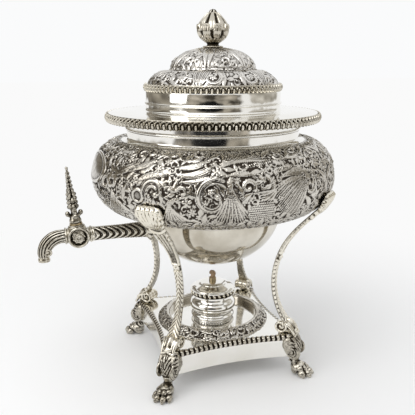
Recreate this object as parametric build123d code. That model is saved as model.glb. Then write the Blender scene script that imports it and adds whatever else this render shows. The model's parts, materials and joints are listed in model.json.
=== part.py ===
from build123d import *
import os
from math import acos, asin, cos, degrees, radians, sin, sqrt

os.makedirs("parts", exist_ok=True)

# A tea urn on a footed stand, in millimetres. The origin is on the floor under the middle of the
# vessel, +Z is up and the tap points along -Y, which is the front. The feet stand on the diagonals.

# Plinth: a square tray turned upside down, with sides that curve in and cut corners
foot_rise = 20.6
plinth_height = 26.0
plinth_half_width = 73.3
plinth_side_bow = 7.0
plinth_corner_cut = 6.6
plate_thickness = 1.6
skirt_wall = 1.5

# Border strip along the top edge of each side
border_drop = 5.6
border_web = 1.2
border_reach = 2.6
border_bevel = 1.3
border_end_gap = 4.6

# Paw feet that hug the plinth's corners
solder_gap = 0.1
cut_overrun = 1.0
knee_reach = 9.8
knee_drop = 0.3
knee_top_reach = 3.2
knee_half_width = 13.2
ankle_half_width = 4.8
ankle_height = 14.5
paw_length = 23.0
paw_half_width = 10.3
sole_inset = 0.7
sole_setback = 2.0
heel_overhang = 0.6
knee_depth = 16.2
toe_notch_depth = 6.0
toe_notch_width = 1.3

# Raised ring round the lamp
well_outer_radius = 63.4
well_crest_radius = 53.0
well_mouth_radius = 50.0
well_rise = 8.4

# Bowl: the plain lower part of the vessel, a half ellipse under a flared shoulder
bowl_rise = 68.4
bowl_radius = 75.0
bowl_depth = 63.0
bowl_straight = 6.0
bowl_flat_radius = 1.2
shoulder_rise = 9.0
shoulder_step = 3.0
sheet_wall = 1.2

# Belly: the bulging chased zone
belly_edge_radius = 98.0
belly_bulge = 32.0
belly_height = 74.0

# Neck and wide rim
neck_radius = 91.6
neck_height = 27.5
neck_cove = 2.0
rim_plate_radius = 110.0
rim_thickness = 2.2
rim_droop = 2.0
rim_border_reach = 3.9
rim_border_height = 8.6
rim_border_lip = 1.2
rim_border_bevel = 1.6
rim_knee_setback = 1.5

# Collar that the lid sits on
collar_radius = 71.2
collar_height = 19.7
collar_flare = 2.4
collar_flare_height = 6.3

# Lid: a low dome, a crown and a finial
lid_seat_overlap = 1.8
lid_border_reach = 3.8
lid_border_height = 7.5
lid_border_bevel = 0.4
lid_border_undercut = 1.2
dome_top_radius = 47.7
dome_height = 20.6
dome_lip = 6.0
crown_setback = 2.4
crown_height = 22.6
crown_flat_radius = 10.5
bezel_depth = 12.0
bezel_wall = 1.0
bezel_clearance = 0.3

# Finial: a bud in a leafy cup
finial_foot_radius = 10.0
finial_neck_radius = 7.2
finial_neck_height = 4.3
bud_radius = 17.6
bud_middle_height = 18.4
finial_height = 38.8
cup_radius = 14.6
cup_height = 10.4
cup_lip = 1.4
stud_radius = 2.0
stud_clearance = 0.15
stud_tail = 2.0
nut_across_flats = 7.0
nut_height = 3.0

# Straps: four curved legs between the plinth's corners and the belly
strap_thickness = 3.4
strap_waist_radius = 74.5
strap_waist_rise = 58.0
strap_top_angle = -16.0
strap_leave_angle = -50.0
strap_head_half_width = 15.0
strap_head_crown = 4.0
strap_head_brow = 2.0
strap_head_lift = 1.0
strap_belly_gap = 0.3
strap_neck_half_width = 8.6
strap_neck_flare = 1.6
strap_neck_drop = 3.0
strap_upper_taper = 20.0
strap_lower_taper = 30.0
strap_waist_half_width = 5.2
strap_base_half_width = 10.0
strap_foot_half_width = 7.2
strap_base_height = 9.0
volute_radius = 6.6
volute_setback = 12.7
volute_rise = 8.4
base_overhang = 4.6
base_sole_setback = 3.0
base_toe_height = 5.0
base_brow_setback = 3.4
base_brow_height = 10.4
base_top_height = 16.0

# Tap: a pipe from the bowl to a plug cock with a bent spout
tap_rise = 43.8
tap_reach = 148.0
tap_lean = 6.0
pipe_root_radius = 9.4
pipe_radius = 7.6
pipe_taper_length = 32.0
pipe_bore_radius = 4.0
spigot_radius = 6.0
spigot_gap = 0.05
spigot_length = 5.0
barrel_radius = 10.4
barrel_end_radius = 7.4
barrel_up = 12.0
barrel_round = 3.0
barrel_down = 9.4
barrel_port_reach = 13.0
side_ring_radius = 9.2
side_ring_reach = 11.0
plug_top_radius = 5.6
plug_taper = 0.06
plug_port_radius = 3.2
plug_running_gap = 0.05
plug_tail_radius = 2.5
plug_collar_radius = 6.4
plug_collar_height = 1.6
tang_side = 5.0
tang_height = 4.6
tang_gap = 0.05
washer_radius = 5.4
washer_thickness = 0.9
tail_nut_radius = 4.4
tail_nut_height = 3.2
tail_nut_bevel = 1.0
end_gap = 0.1
spout_radius = 6.0
spout_sides = 8
spout_bore_radius = 3.6
spout_run = 3.5
spout_bend = 19.0
spout_drop = 4.2
spout_lip_radius = 6.3
spout_lip_height = 2.2

# Openwork tap handle, standing across the pipe when the tap is shut
handle_thickness = 5.0
handle_height = 59.0
handle_base_radius = 6.2
handle_base_height = 5.6
handle_stem_half_width = 2.6
handle_loop_radius = 9.4
handle_loop_bore = 5.2
handle_leaf_height = 36.0
handle_leaf_half_width = 8.0

# Spirit lamp
lamp_foot_radius = 22.5
lamp_foot_height = 3.0
reservoir_height = 26.4
reservoir_neck_radius = 20.6
reservoir_radius = 26.0
reservoir_shoulder = 8.5
reservoir_wall = 1.0
burner_rim_radius = 25.6
burner_rim_height = 6.6
burner_dome_height = 7.6
burner_step_radius = 12.0
burner_wall = 1.0
burner_seat_depth = 2.0
burner_seat_gap = 0.3
wick_tube_radius = 4.0
wick_tube_wall = 0.7
wick_tube_above = 4.0
wick_tube_below = 18.0
wick_radius = 2.6
wick_below = 34.0
wick_above = 2.6

# Heights and radii that follow from the driving sizes
plinth_top = foot_rise + plinth_height
border_half_length = plinth_half_width - plinth_corner_cut - border_end_gap
corner_radius = (2 * plinth_half_width - plinth_corner_cut) / sqrt(2)
bowl_bottom = plinth_top + bowl_rise
bowl_centre = bowl_bottom + bowl_depth
bowl_end = bowl_centre - bowl_straight
belly_foot = bowl_end + shoulder_rise
belly_centre = belly_foot + belly_height / 2
belly_top = belly_foot + belly_height
rim_seat = belly_top + neck_height
collar_foot = rim_seat + rim_thickness
lid_seat = collar_foot + collar_height
collar_bore_radius = collar_radius - sheet_wall
dome_edge_radius = collar_radius - lid_seat_overlap
crown_foot_radius = dome_top_radius - crown_setback
rim_border_radius = rim_plate_radius + rim_border_reach
lid_border_radius = dome_edge_radius + lid_border_reach
dome_top = lid_seat + dome_height
tap_height = bowl_bottom + tap_rise
corners = {"front_right": -45, "front_left": -135, "back_right": 45, "back_left": 135}


def save(name, part):
    export_step(part, f"parts/{name}.step")


def turned(*edges):
    """Solid turned about the upright axis from a closed outline of (radius, height) edges."""
    return revolve(Plane.XZ * Face(Wire(list(edges))), Axis.Z)


def turned_points(*points):
    """Solid turned about the upright axis from a closed run of (radius, height) points."""
    return turned(*Polyline(*points, close=True).edges())


def tube(outer, inner, low, high):
    return turned_points((inner, low), (outer, low), (outer, high), (inner, high))


def rod(radius, low, high):
    return turned_points((0, low), (radius, low), (radius, high), (0, high))


def hex_nut(low):
    """Hexagon nut round the upright axis with a clear hole for a stud."""
    hexagon = RegularPolygon(nut_across_flats / 2, 6, major_radius=False)
    nut = extrude(Plane.XY.offset(low) * hexagon, nut_height)
    return nut - rod(stud_radius + stud_clearance, low - 1, low + nut_height + 1)


def at_corner(part, angle):
    """Turns a part drawn over +X to a corner of the plinth."""
    return part.rotate(Axis.Z, angle)


# Plinth


def plinth_outline(inset):
    """The plinth from above: four sides curved in and four cut corners, moved inwards by inset."""
    half = plinth_half_width - inset
    cut = plinth_corner_cut - (2 - sqrt(2)) * inset
    side = ThreePointArc((half, cut - half), (half - plinth_side_bow, 0), (half, half - cut))
    corner = Line((half, half - cut), (half - cut, half))
    quarters = [edge.rotate(Axis.Z, 90 * turn) for turn in range(4) for edge in (side, corner)]
    return Face(Wire(quarters))


def plinth_prism(inset, low, high):
    return extrude(Plane.XY.offset(low) * plinth_outline(inset), high - low)


def make_plinth():
    skirt_top = plinth_top - plate_thickness
    skirt = plinth_prism(0, foot_rise, skirt_top) - plinth_prism(skirt_wall, foot_rise, skirt_top)
    save("plinth_plate", plinth_prism(0, skirt_top, plinth_top))
    save("plinth_skirt", skirt)


def make_plinth_border():
    """A strip along each side, bevelled to a ridge, stands out from the top edge of the skirt."""
    low = plinth_top - border_drop
    ridge = plinth_prism(-border_reach, low + border_bevel, plinth_top - border_bevel)
    strip = ridge + plinth_prism(-border_web, low, plinth_top) - plinth_prism(0, low, plinth_top)
    keep = Pos(plinth_half_width / 2, 0, low) * Box(
        plinth_half_width, 2 * border_half_length, border_drop, align=(Align.MIN, Align.CENTER, Align.MIN)
    )
    side = strip & keep
    sides = [side.rotate(Axis.Z, 90 * turn) for turn in range(4)]
    save("plinth_border", Compound(sides))


# Feet


def foot_profile():
    """The foot from the side, as distance from the axis and height: knee, ankle and paw."""
    knee_top = plinth_top - knee_drop
    inner = corner_radius - knee_depth
    ankle = (corner_radius + ankle_half_width, ankle_height)
    toe = corner_radius + paw_length
    knee = ThreePointArc(
        (corner_radius + knee_top_reach, knee_top),
        (corner_radius + knee_reach, (knee_top + foot_rise) / 2),
        ankle,
    )
    under = Polyline(
        ankle,
        (corner_radius + paw_length * 0.62, ankle_height * 0.8),
        (toe, ankle_height * 0.36),
        (toe - sole_inset, 0),
        (corner_radius + sole_setback, 0),
        (corner_radius - heel_overhang, ankle_height * 0.75),
        (inner, foot_rise),
        (inner, knee_top),
        (corner_radius + knee_top_reach, knee_top),
    )
    return Face(Wire([knee] + under.edges()))


def foot_front():
    """The foot from the front, as half widths and heights, mirrored about the diagonal."""
    half = Polyline(
        (0, plinth_top - knee_drop),
        (plinth_corner_cut, plinth_top - knee_drop),
        (plinth_corner_cut, plinth_top - border_drop - knee_drop),
        (knee_half_width, foot_rise + plinth_height * 0.4),
        (ankle_half_width * 1.9, foot_rise),
        (ankle_half_width, ankle_height),
        (paw_half_width, ankle_height * 0.4),
        (paw_half_width - sole_inset, 0),
        (0, 0),
    )
    right = half.edges()
    left = [edge.mirror(Plane.YZ) for edge in right]
    return Face(Wire(right + left))


def toe_notch():
    """One of the upright notches between the toes, opening outwards."""
    tip = corner_radius + paw_length
    outside = tip + cut_overrun
    notch = Polyline(
        (tip - toe_notch_depth, 0), (outside, toe_notch_width), (outside, -toe_notch_width), close=True
    )
    return extrude(Face(Wire(notch.edges())), ankle_height)


def make_feet():
    reach = 2 * corner_radius
    side = extrude(Plane.XZ * foot_profile(), 2 * knee_half_width, both=True)
    front = extrude(Plane.YZ * foot_front(), reach, both=True)
    foot = side & front
    for number in range(-1, 2):
        foot -= Pos(0, number * paw_half_width / 2, 0) * toe_notch()
    foot -= at_corner(plinth_prism(-solder_gap, foot_rise, plinth_top + cut_overrun), 45)
    for name, angle in corners.items():
        save(f"foot_{name}", at_corner(foot, angle))


# Straps


def belly_point(angle, stand_off):
    """A point on the belly's section, stand_off outside it, at an angle round the ellipse."""
    turn = radians(angle)
    return (
        belly_edge_radius + (belly_bulge + stand_off) * cos(turn),
        belly_centre + (belly_height / 2 + stand_off) * sin(turn),
    )


def strap_line():
    """Middle line of a strap: along the belly, in to the waist and out to the volute."""
    stand_off = strap_thickness / 2 + strap_belly_gap
    head = EllipticalCenterArc(
        (belly_edge_radius, belly_centre),
        belly_bulge + stand_off,
        belly_height / 2 + stand_off,
        strap_top_angle,
        arc_size=strap_leave_angle - strap_top_angle,
    )
    waist = (strap_waist_radius, plinth_top + strap_waist_rise)
    volute = Vector(corner_radius - volute_setback, plinth_top + volute_rise)
    roll = volute_radius - strap_thickness / 2
    foot = (volute.X + roll * cos(radians(40)), volute.Y + roll * sin(radians(40)))
    body = Spline(
        head @ 1,
        waist,
        foot,
        tangents=[head % 1, (0, -1), (sin(radians(40)), -cos(radians(40)))],
    )
    return head, body, volute


def strap_side():
    """The strap from the side: the bent bar, its volute and the leafy base on the plinth."""
    head, body, volute = strap_line()
    bar = trace([head, body], strap_thickness)
    disc = Pos(volute.X, volute.Y) * Circle(volute_radius)
    tip = corner_radius + base_overhang
    base = Polyline(
        (volute.X - volute_radius * 0.4, plinth_top),
        (corner_radius - base_sole_setback, plinth_top),
        (tip, plinth_top + base_toe_height),
        (tip - base_brow_setback, plinth_top + base_brow_height),
        (volute.X + volute_radius, plinth_top + base_top_height),
        (volute.X, plinth_top + volute_rise),
        close=True,
    )
    return bar + disc + Face(Wire(base.edges()))


def strap_front():
    """The strap from the front, as half widths and heights, mirrored about the diagonal."""
    top = belly_point(strap_top_angle, 0)[1]
    leave = belly_point(strap_leave_angle, 0)[1]
    waist = plinth_top + strap_waist_rise
    half = Polyline(
        (0, top + strap_head_crown),
        (strap_head_half_width * 0.5, top + strap_head_brow),
        (strap_head_half_width, (top + leave) / 2 + strap_head_lift),
        (strap_neck_half_width + strap_neck_flare, leave - strap_neck_drop),
        (strap_waist_half_width, waist + strap_upper_taper),
        (strap_waist_half_width, waist - strap_lower_taper),
        (strap_base_half_width, plinth_top + strap_base_height),
        (strap_foot_half_width, plinth_top),
        (0, plinth_top),
    )
    right = half.edges()
    left = [edge.mirror(Plane.YZ) for edge in right]
    return Face(Wire(right + left))


def make_straps():
    reach = 2 * belly_edge_radius
    side = extrude(Plane.XZ * strap_side(), 2 * strap_head_half_width, both=True)
    strap = side & extrude(Plane.YZ * strap_front(), reach, both=True)
    for name, angle in corners.items():
        save(f"strap_{name}", at_corner(strap, angle))


# Vessel


def make_lamp_well_ring():
    crest = plinth_top + well_rise
    ring = turned_points(
        (well_mouth_radius, plinth_top),
        (well_outer_radius, plinth_top),
        (well_outer_radius - 1.4, plinth_top + well_rise * 0.5),
        (well_crest_radius, crest),
        (well_mouth_radius, crest - 2),
    )
    save("lamp_well_ring", ring)


def bowl_edge(inset):
    """Half section of the bowl moved inwards by inset: a part ellipse from a small flat at the bottom."""
    depth = bowl_depth - inset
    start = -degrees(acos(bowl_flat_radius / (bowl_radius - inset)))
    stop = -degrees(asin(bowl_straight / depth))
    return EllipticalCenterArc((0, bowl_centre), bowl_radius - inset, depth, start, arc_size=stop - start)


def bowl_body(inset):
    """The bowl filled up to its rim, for cutting what fits round it."""
    edge = bowl_edge(inset)
    flat = edge @ 0
    rim = edge @ 1
    return turned(edge, *Polyline(rim, (0, rim.Y), (0, flat.Y), flat).edges())


def along_tap(part):
    """Lays a part drawn about +Z along the tap's pipe, with +Z turned to point forwards."""
    return Pos(0, 0, tap_height) * part.rotate(Axis.X, 90)


def make_bowl():
    bowl = bowl_body(0) - bowl_body(sheet_wall)
    bowl -= along_tap(rod(spigot_radius + spigot_gap, bowl_radius / 2, 2 * bowl_radius))
    save("vessel_bowl", bowl)


def make_shoulder():
    """The flared ring that joins the bowl's rim to the foot of the belly."""
    outer = (bowl_edge(0) @ 1).X
    inner = (bowl_edge(sheet_wall) @ 1).X
    bend = belly_foot - shoulder_step
    shoulder = turned_points(
        (outer, bowl_end),
        (outer + shoulder_step, bend),
        (belly_edge_radius, belly_foot),
        (belly_edge_radius, belly_foot + sheet_wall),
        (outer + shoulder_step - sheet_wall, bend + sheet_wall),
        (inner, bowl_end),
    )
    save("vessel_shoulder", shoulder)


def make_belly():
    shells = [
        EllipticalCenterArc(
            (belly_edge_radius, belly_centre),
            belly_bulge - inset,
            belly_height / 2 - inset,
            -90,
            arc_size=180,
        )
        for inset in (0, sheet_wall)
    ]
    outer, inner = shells
    belly = turned(outer, Line(outer @ 1, inner @ 1), inner, Line(inner @ 0, outer @ 0))
    save("vessel_belly", belly)


def make_neck():
    bore = neck_radius - sheet_wall
    under = belly_top - sheet_wall
    neck = turned_points(
        (belly_edge_radius, belly_top),
        (neck_radius + neck_cove, belly_top),
        (neck_radius, belly_top + neck_cove),
        (neck_radius, rim_seat),
        (bore, rim_seat),
        (bore, under),
        (belly_edge_radius, under),
    )
    save("vessel_neck", neck)


def make_rim():
    """The wide plate droops outside the neck, and a border rolls over its edge."""
    knee = neck_radius + rim_knee_setback
    edge = rim_plate_radius
    plate = turned_points(
        (collar_bore_radius, rim_seat),
        (knee, rim_seat),
        (edge, rim_seat - rim_droop),
        (edge, rim_seat - rim_droop + rim_thickness),
        (knee, rim_seat + rim_thickness),
        (collar_bore_radius, rim_seat + rim_thickness),
    )
    top = rim_seat - rim_droop + rim_thickness
    low = top - rim_border_height
    border = turned_points(
        (edge, low),
        (edge + rim_border_lip, low),
        (rim_border_radius, low + rim_border_height * 0.4),
        (rim_border_radius - rim_border_bevel / 2, top - rim_border_bevel),
        (edge, top),
    )
    save("rim_plate", plate)
    save("rim_border", border)


def make_collar():
    collar = turned_points(
        (collar_bore_radius, collar_foot),
        (collar_radius + collar_flare, collar_foot),
        (collar_radius, collar_foot + collar_flare_height),
        (collar_radius, lid_seat),
        (collar_bore_radius, lid_seat),
    )
    save("lid_collar", collar)


# Lid


def dome_arc(inset, start=0, end=90):
    """Quarter ellipse of the dome's section, moved inwards by inset."""
    return EllipticalCenterArc(
        (dome_top_radius, lid_seat),
        dome_edge_radius - dome_top_radius - inset,
        dome_height - inset,
        start,
        arc_size=end - start,
    )


def crown_arc(inset):
    """Part ellipse of the crown's section, from its foot up to the flat under the finial."""
    across = crown_foot_radius - crown_flat_radius * 0.4
    stop = degrees(asin(sqrt(1 - ((crown_flat_radius * 0.6) / across) ** 2)))
    return EllipticalCenterArc(
        (crown_flat_radius * 0.4, dome_top), across - inset, crown_height - inset, 0, arc_size=stop
    )


def make_lid():
    outer = dome_arc(0)
    inner = dome_arc(sheet_wall)
    lip = dome_top_radius - dome_lip
    cover = turned(
        outer,
        Line(outer @ 1, (lip, dome_top)),
        Line((lip, dome_top), (lip, dome_top - sheet_wall)),
        Line((lip, dome_top - sheet_wall), inner @ 1),
        inner,
        Line(inner @ 0, outer @ 0),
    )
    rise = degrees(asin(lid_border_height / dome_height))
    seat = dome_arc(-solder_gap, 0, rise)
    edge = Polyline(
        seat @ 1,
        (lid_border_radius - lid_border_bevel, lid_seat + lid_border_height * 0.7),
        (lid_border_radius, lid_seat + lid_border_height * 0.4),
        (lid_border_radius - lid_border_undercut, lid_seat),
        seat @ 0,
    )
    border = turned(seat, *edge.edges())
    bezel_radius = collar_bore_radius - bezel_clearance
    bezel = tube(bezel_radius, bezel_radius - bezel_wall, lid_seat - bezel_depth, lid_seat)
    save("lid_dome", cover)
    save("lid_border", border)
    save("lid_bezel", bezel)


def make_crown():
    """The crown is open underneath and pierced at the top for the finial's stud."""
    outer = crown_arc(0)
    inner = crown_arc(sheet_wall)
    top = (outer @ 1).Y
    hole = stud_radius + stud_clearance
    under = (inner @ 1).Y
    crown = turned(
        outer,
        Line(outer @ 1, (hole, top)),
        Line((hole, top), (hole, under)),
        Line((hole, under), inner @ 1),
        inner,
        Line(inner @ 0, outer @ 0),
    )
    save("lid_crown", crown)
    return top, under


def make_finial(seat, under):
    """A bud in a leafy cup, turned in one piece with the stud that its nut holds to the crown."""
    stud_low = under - nut_height - stud_tail
    neck_height = seat + finial_neck_height
    middle = seat + bud_middle_height
    bud_rise = finial_height - bud_middle_height
    finial = turned_points(
        (0, stud_low),
        (stud_radius, stud_low),
        (stud_radius, seat),
        (finial_foot_radius, seat),
        (finial_neck_radius, neck_height),
        (cup_radius + cup_lip, seat + cup_height),
        (cup_radius, seat + cup_height),
        (bud_radius, middle),
        (bud_radius * 0.9, middle + bud_rise * 0.5),
        (bud_radius * 0.52, middle + bud_rise * 0.87),
        (0, seat + finial_height),
    )
    save("finial_bud", finial)
    save("finial_nut", hex_nut(under - nut_height))


# Tap


def tilted(part):
    """Stands a part drawn about +Z at the tap's cock, leaning forwards."""
    return Pos(0, -tap_reach, tap_height) * part.rotate(Axis.X, tap_lean)


def make_tap_pipe():
    """The pipe tapers away from the bowl and enters it as a short spigot."""
    wall = bowl_radius * sqrt(1 - ((bowl_centre - tap_height) / bowl_depth) ** 2)
    end = tap_reach - barrel_port_reach
    pipe = turned_points(
        (pipe_bore_radius, wall - spigot_length),
        (pipe_root_radius, wall - spigot_length),
        (pipe_root_radius, wall),
        (pipe_radius, wall + pipe_taper_length),
        (pipe_radius, end),
        (pipe_bore_radius, end),
    )
    spigot = tube(spigot_radius, pipe_bore_radius, wall - spigot_length, wall + cut_overrun)
    save("tap_pipe", (along_tap(pipe) - bowl_body(0)) + along_tap(spigot))


def plug_radius_at(height):
    """The plug tapers down through the barrel."""
    return plug_top_radius - plug_taper * (barrel_up - height)


def taper(low, high, gap):
    """The plug's cone between two heights, grown by gap all round."""
    return turned_points(
        (0, low), (plug_radius_at(low) + gap, low), (plug_radius_at(high) + gap, high), (0, high)
    )


def make_barrel():
    """Round barrel with a ring boss on each side and a port boss to the pipe and the spout."""
    body = turned_points(
        (0, -barrel_down),
        (barrel_end_radius, -barrel_down),
        (barrel_radius, barrel_round - barrel_down),
        (barrel_radius, barrel_up - 2 * barrel_round),
        (barrel_end_radius, barrel_up),
        (0, barrel_up),
    )
    rings = rod(side_ring_radius, -side_ring_reach, side_ring_reach).rotate(Axis.Y, 90)
    ports = along_tap(rod(pipe_radius, tap_reach - barrel_port_reach, tap_reach + barrel_port_reach))
    barrel = tilted(body + rings) + ports
    barrel -= tilted(taper(-barrel_down - cut_overrun, barrel_up + cut_overrun, plug_running_gap))
    port_reach = barrel_port_reach + cut_overrun
    barrel -= along_tap(rod(plug_port_radius, tap_reach - port_reach, tap_reach + port_reach))
    save("tap_barrel", barrel)


def make_plug():
    """Tapered plug, bored across, with a tail for its nut and a square tang for the handle."""
    shoulder = barrel_up + end_gap
    tail = -barrel_down - end_gap - washer_thickness - tail_nut_height
    plug = taper(-barrel_down, shoulder, 0)
    plug += rod(plug_tail_radius, tail, -barrel_down)
    plug += rod(plug_collar_radius, shoulder, shoulder + plug_collar_height)
    tang = Pos(0, 0, shoulder + plug_collar_height) * Box(
        tang_side, tang_side, tang_height, align=(Align.CENTER, Align.CENTER, Align.MIN)
    )
    plug += tang
    plug -= rod(plug_port_radius, -2 * barrel_radius, 2 * barrel_radius).rotate(Axis.Y, 90)
    bore = plug_tail_radius + end_gap
    nut_top = -barrel_down - end_gap
    nut = turned_points(
        (bore, nut_top),
        (washer_radius, nut_top),
        (washer_radius, nut_top - washer_thickness),
        (tail_nut_radius, nut_top - washer_thickness),
        (tail_nut_radius - tail_nut_bevel, tail),
        (bore, tail),
    )
    save("tap_plug", tilted(plug))
    save("tap_nut", tilted(nut))


def handle_face(base):
    """The handle's openwork from the front: a stem with a loop on each side and a leaf above."""
    top = base + handle_height
    loop_height = base + handle_base_height + handle_loop_radius * 0.9
    face = Pos(0, base) * Rectangle(
        2 * handle_stem_half_width, handle_height - handle_leaf_height / 2, align=(Align.CENTER, Align.MIN)
    )
    for facing in (-1, 1):
        loop = Circle(handle_loop_radius) - Circle(handle_loop_bore)
        face += Pos(facing * handle_loop_radius * 0.92, loop_height) * loop
    middle = top - handle_leaf_height * 0.55
    leaf = Wire(
        [
            ThreePointArc((0, top - handle_leaf_height), (handle_leaf_half_width, middle), (0, top)),
            ThreePointArc((0, top), (-handle_leaf_half_width, middle), (0, top - handle_leaf_height)),
        ]
    )
    return face + Face(leaf)


def make_handle():
    base = barrel_up + end_gap + plug_collar_height
    openwork = extrude(Plane.XZ * handle_face(base), handle_thickness / 2, both=True)
    socket = rod(handle_base_radius, base, base + handle_base_height)
    handle = openwork + socket
    pocket = Pos(0, 0, base) * Box(
        tang_side + 2 * tang_gap,
        tang_side + 2 * tang_gap,
        2 * (tang_height + tang_gap),
    )
    save("tap_handle", tilted(handle - pocket))


def make_spout():
    """The spout leaves the barrel level, bends through a quarter turn and ends in a lip."""
    start = -tap_reach - barrel_port_reach
    bend_start = start - spout_run
    run = Line((0, start, tap_height), (0, bend_start, tap_height))
    turn = RadiusArc(
        (bend_start, tap_height), (bend_start - spout_bend, tap_height - spout_bend), -spout_bend
    )
    turn = Plane.YZ * turn
    fall = Line(turn @ 1, turn @ 1 + Vector(0, 0, -spout_drop))
    path = Wire([run, turn, fall])
    section = Plane(origin=(0, start, tap_height), z_dir=(0, -1, 0))
    outer = sweep(section * RegularPolygon(spout_radius, spout_sides), path=path)
    tip = path @ 1
    lip = Pos(tip.X, tip.Y, tip.Z) * rod(spout_lip_radius, -spout_lip_height, 0)
    bore = sweep(section * RegularPolygon(spout_bore_radius, spout_sides), path=path)
    mouth = rod(spout_bore_radius, -spout_lip_height - cut_overrun, spout_lip_height / 4)
    mouth = Pos(tip.X, tip.Y, tip.Z) * mouth
    save("tap_spout", outer + lip - bore - mouth)


# Spirit lamp


def make_lamp():
    foot_top = plinth_top + lamp_foot_height
    top = foot_top + reservoir_height
    foot = rod(lamp_foot_radius, plinth_top, foot_top)
    bulb = []
    for wall in (0, reservoir_wall):
        radius = reservoir_radius - wall
        bulb.append(
            turned_points(
                (0, foot_top + wall),
                (reservoir_neck_radius - wall, foot_top + wall),
                (radius, foot_top + reservoir_shoulder),
                (radius, top - reservoir_shoulder),
                (reservoir_neck_radius - wall, top),
                (0, top),
            )
        )
    reservoir = bulb[0] - bulb[1]
    save("lamp_foot", foot)
    save("lamp_reservoir", reservoir)
    return top


def make_burner(seat):
    """Domed cover with a raised band, which drops into the reservoir's neck and holds the wick tube."""
    rim_top = seat + burner_rim_height
    top = rim_top + burner_dome_height
    plug_radius = reservoir_neck_radius - reservoir_wall - burner_seat_gap
    bore = plug_radius - burner_wall
    cover = turned_points(
        (bore, seat - burner_seat_depth),
        (plug_radius, seat - burner_seat_depth),
        (plug_radius, seat),
        (burner_rim_radius, seat),
        (burner_rim_radius, rim_top),
        (burner_step_radius, top),
        (wick_tube_radius, top),
        (wick_tube_radius, top - burner_wall),
        (burner_step_radius, top - burner_wall),
        (bore, rim_top - burner_wall),
    )
    tube_top = top + wick_tube_above
    wick_tube = tube(wick_tube_radius, wick_tube_radius - wick_tube_wall, top - wick_tube_below, tube_top)
    save("burner_cover", cover)
    save("wick_tube", wick_tube)
    save("wick", rod(wick_radius, tube_top - wick_below, tube_top + wick_above))


make_plinth()
make_plinth_border()
make_feet()
make_straps()
make_lamp_well_ring()
make_bowl()
make_shoulder()
make_belly()
make_neck()
make_rim()
make_collar()
make_lid()
make_finial(*make_crown())
make_tap_pipe()
make_barrel()
make_plug()
make_handle()
make_spout()
make_burner(make_lamp())
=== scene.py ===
import json
import math
import bpy
import numpy as np
from mathutils import Matrix, Vector


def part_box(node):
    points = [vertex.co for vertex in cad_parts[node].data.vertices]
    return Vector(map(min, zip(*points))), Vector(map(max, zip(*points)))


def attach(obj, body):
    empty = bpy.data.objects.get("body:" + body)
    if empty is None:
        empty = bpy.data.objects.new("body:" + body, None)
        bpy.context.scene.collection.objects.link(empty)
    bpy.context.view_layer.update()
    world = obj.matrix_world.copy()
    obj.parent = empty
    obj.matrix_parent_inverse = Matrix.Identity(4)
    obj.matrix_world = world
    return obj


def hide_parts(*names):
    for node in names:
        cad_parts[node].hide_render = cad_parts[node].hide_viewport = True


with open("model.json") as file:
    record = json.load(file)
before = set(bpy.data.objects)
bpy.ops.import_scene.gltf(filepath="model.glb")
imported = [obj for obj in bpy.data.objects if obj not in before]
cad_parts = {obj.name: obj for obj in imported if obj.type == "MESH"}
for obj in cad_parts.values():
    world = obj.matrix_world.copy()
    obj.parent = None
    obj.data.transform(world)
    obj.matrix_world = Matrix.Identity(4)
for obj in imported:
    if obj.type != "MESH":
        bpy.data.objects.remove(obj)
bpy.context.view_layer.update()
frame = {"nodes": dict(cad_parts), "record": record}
print("frame loaded with", len(frame["nodes"]), "nodes")

mm = 0.001
cornerAngles = {"front_right": -45, "front_left": -135, "back_right": 45, "back_left": 135}


# Reading the frame

def boxMm(node):  # lowest and highest corner of a CAD node in millimetres
    low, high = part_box(node)
    return np.array(low) / mm, np.array(high) / mm


# Meshes

def gridTriangles(rows, columns, wrapRows, wrapColumns):  # two triangles between each four neighbours of a grid
    r = np.arange(rows if wrapRows else rows - 1)
    c = np.arange(columns if wrapColumns else columns - 1)
    r, c = np.meshgrid(r, c, indexing="ij")
    nextR, nextC = (r + 1) % rows, (c + 1) % columns
    a, b = r * columns + c, r * columns + nextC
    d, e = nextR * columns + c, nextR * columns + nextC
    return np.concatenate([np.stack([a, b, e], -1), np.stack([a, e, d], -1)]).reshape(-1, 3)


def gridShell(points, wrapRows=False, wrapColumns=False, hollow=None):
    # one surface from a grid of points (rows, columns, 3): points that meet are merged, and a closed surface
    # is turned so that its signed volume, the sum of a . (b x c) / 6, is positive
    rows, columns = points.shape[:2]
    triangles = gridTriangles(rows, columns, wrapRows, wrapColumns)
    flat = points.reshape(-1, 3)
    dark = np.zeros(len(flat)) if hollow is None else np.broadcast_to(hollow, (rows, columns)).reshape(-1)
    _, first, back = np.unique(np.round(flat, 4), axis=0, return_index=True, return_inverse=True)
    flat, dark, triangles = flat[first], dark[first], back.reshape(-1)[triangles]
    a, b, c = triangles.T
    triangles = triangles[(a != b) & (b != c) & (c != a)]
    p, q, s = flat[triangles[:, 0]], flat[triangles[:, 1]], flat[triangles[:, 2]]
    if np.einsum("ij,ij->i", p, np.cross(q, s)).sum() < 0:
        triangles = triangles[:, ::-1]
    return flat, triangles, dark


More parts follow.
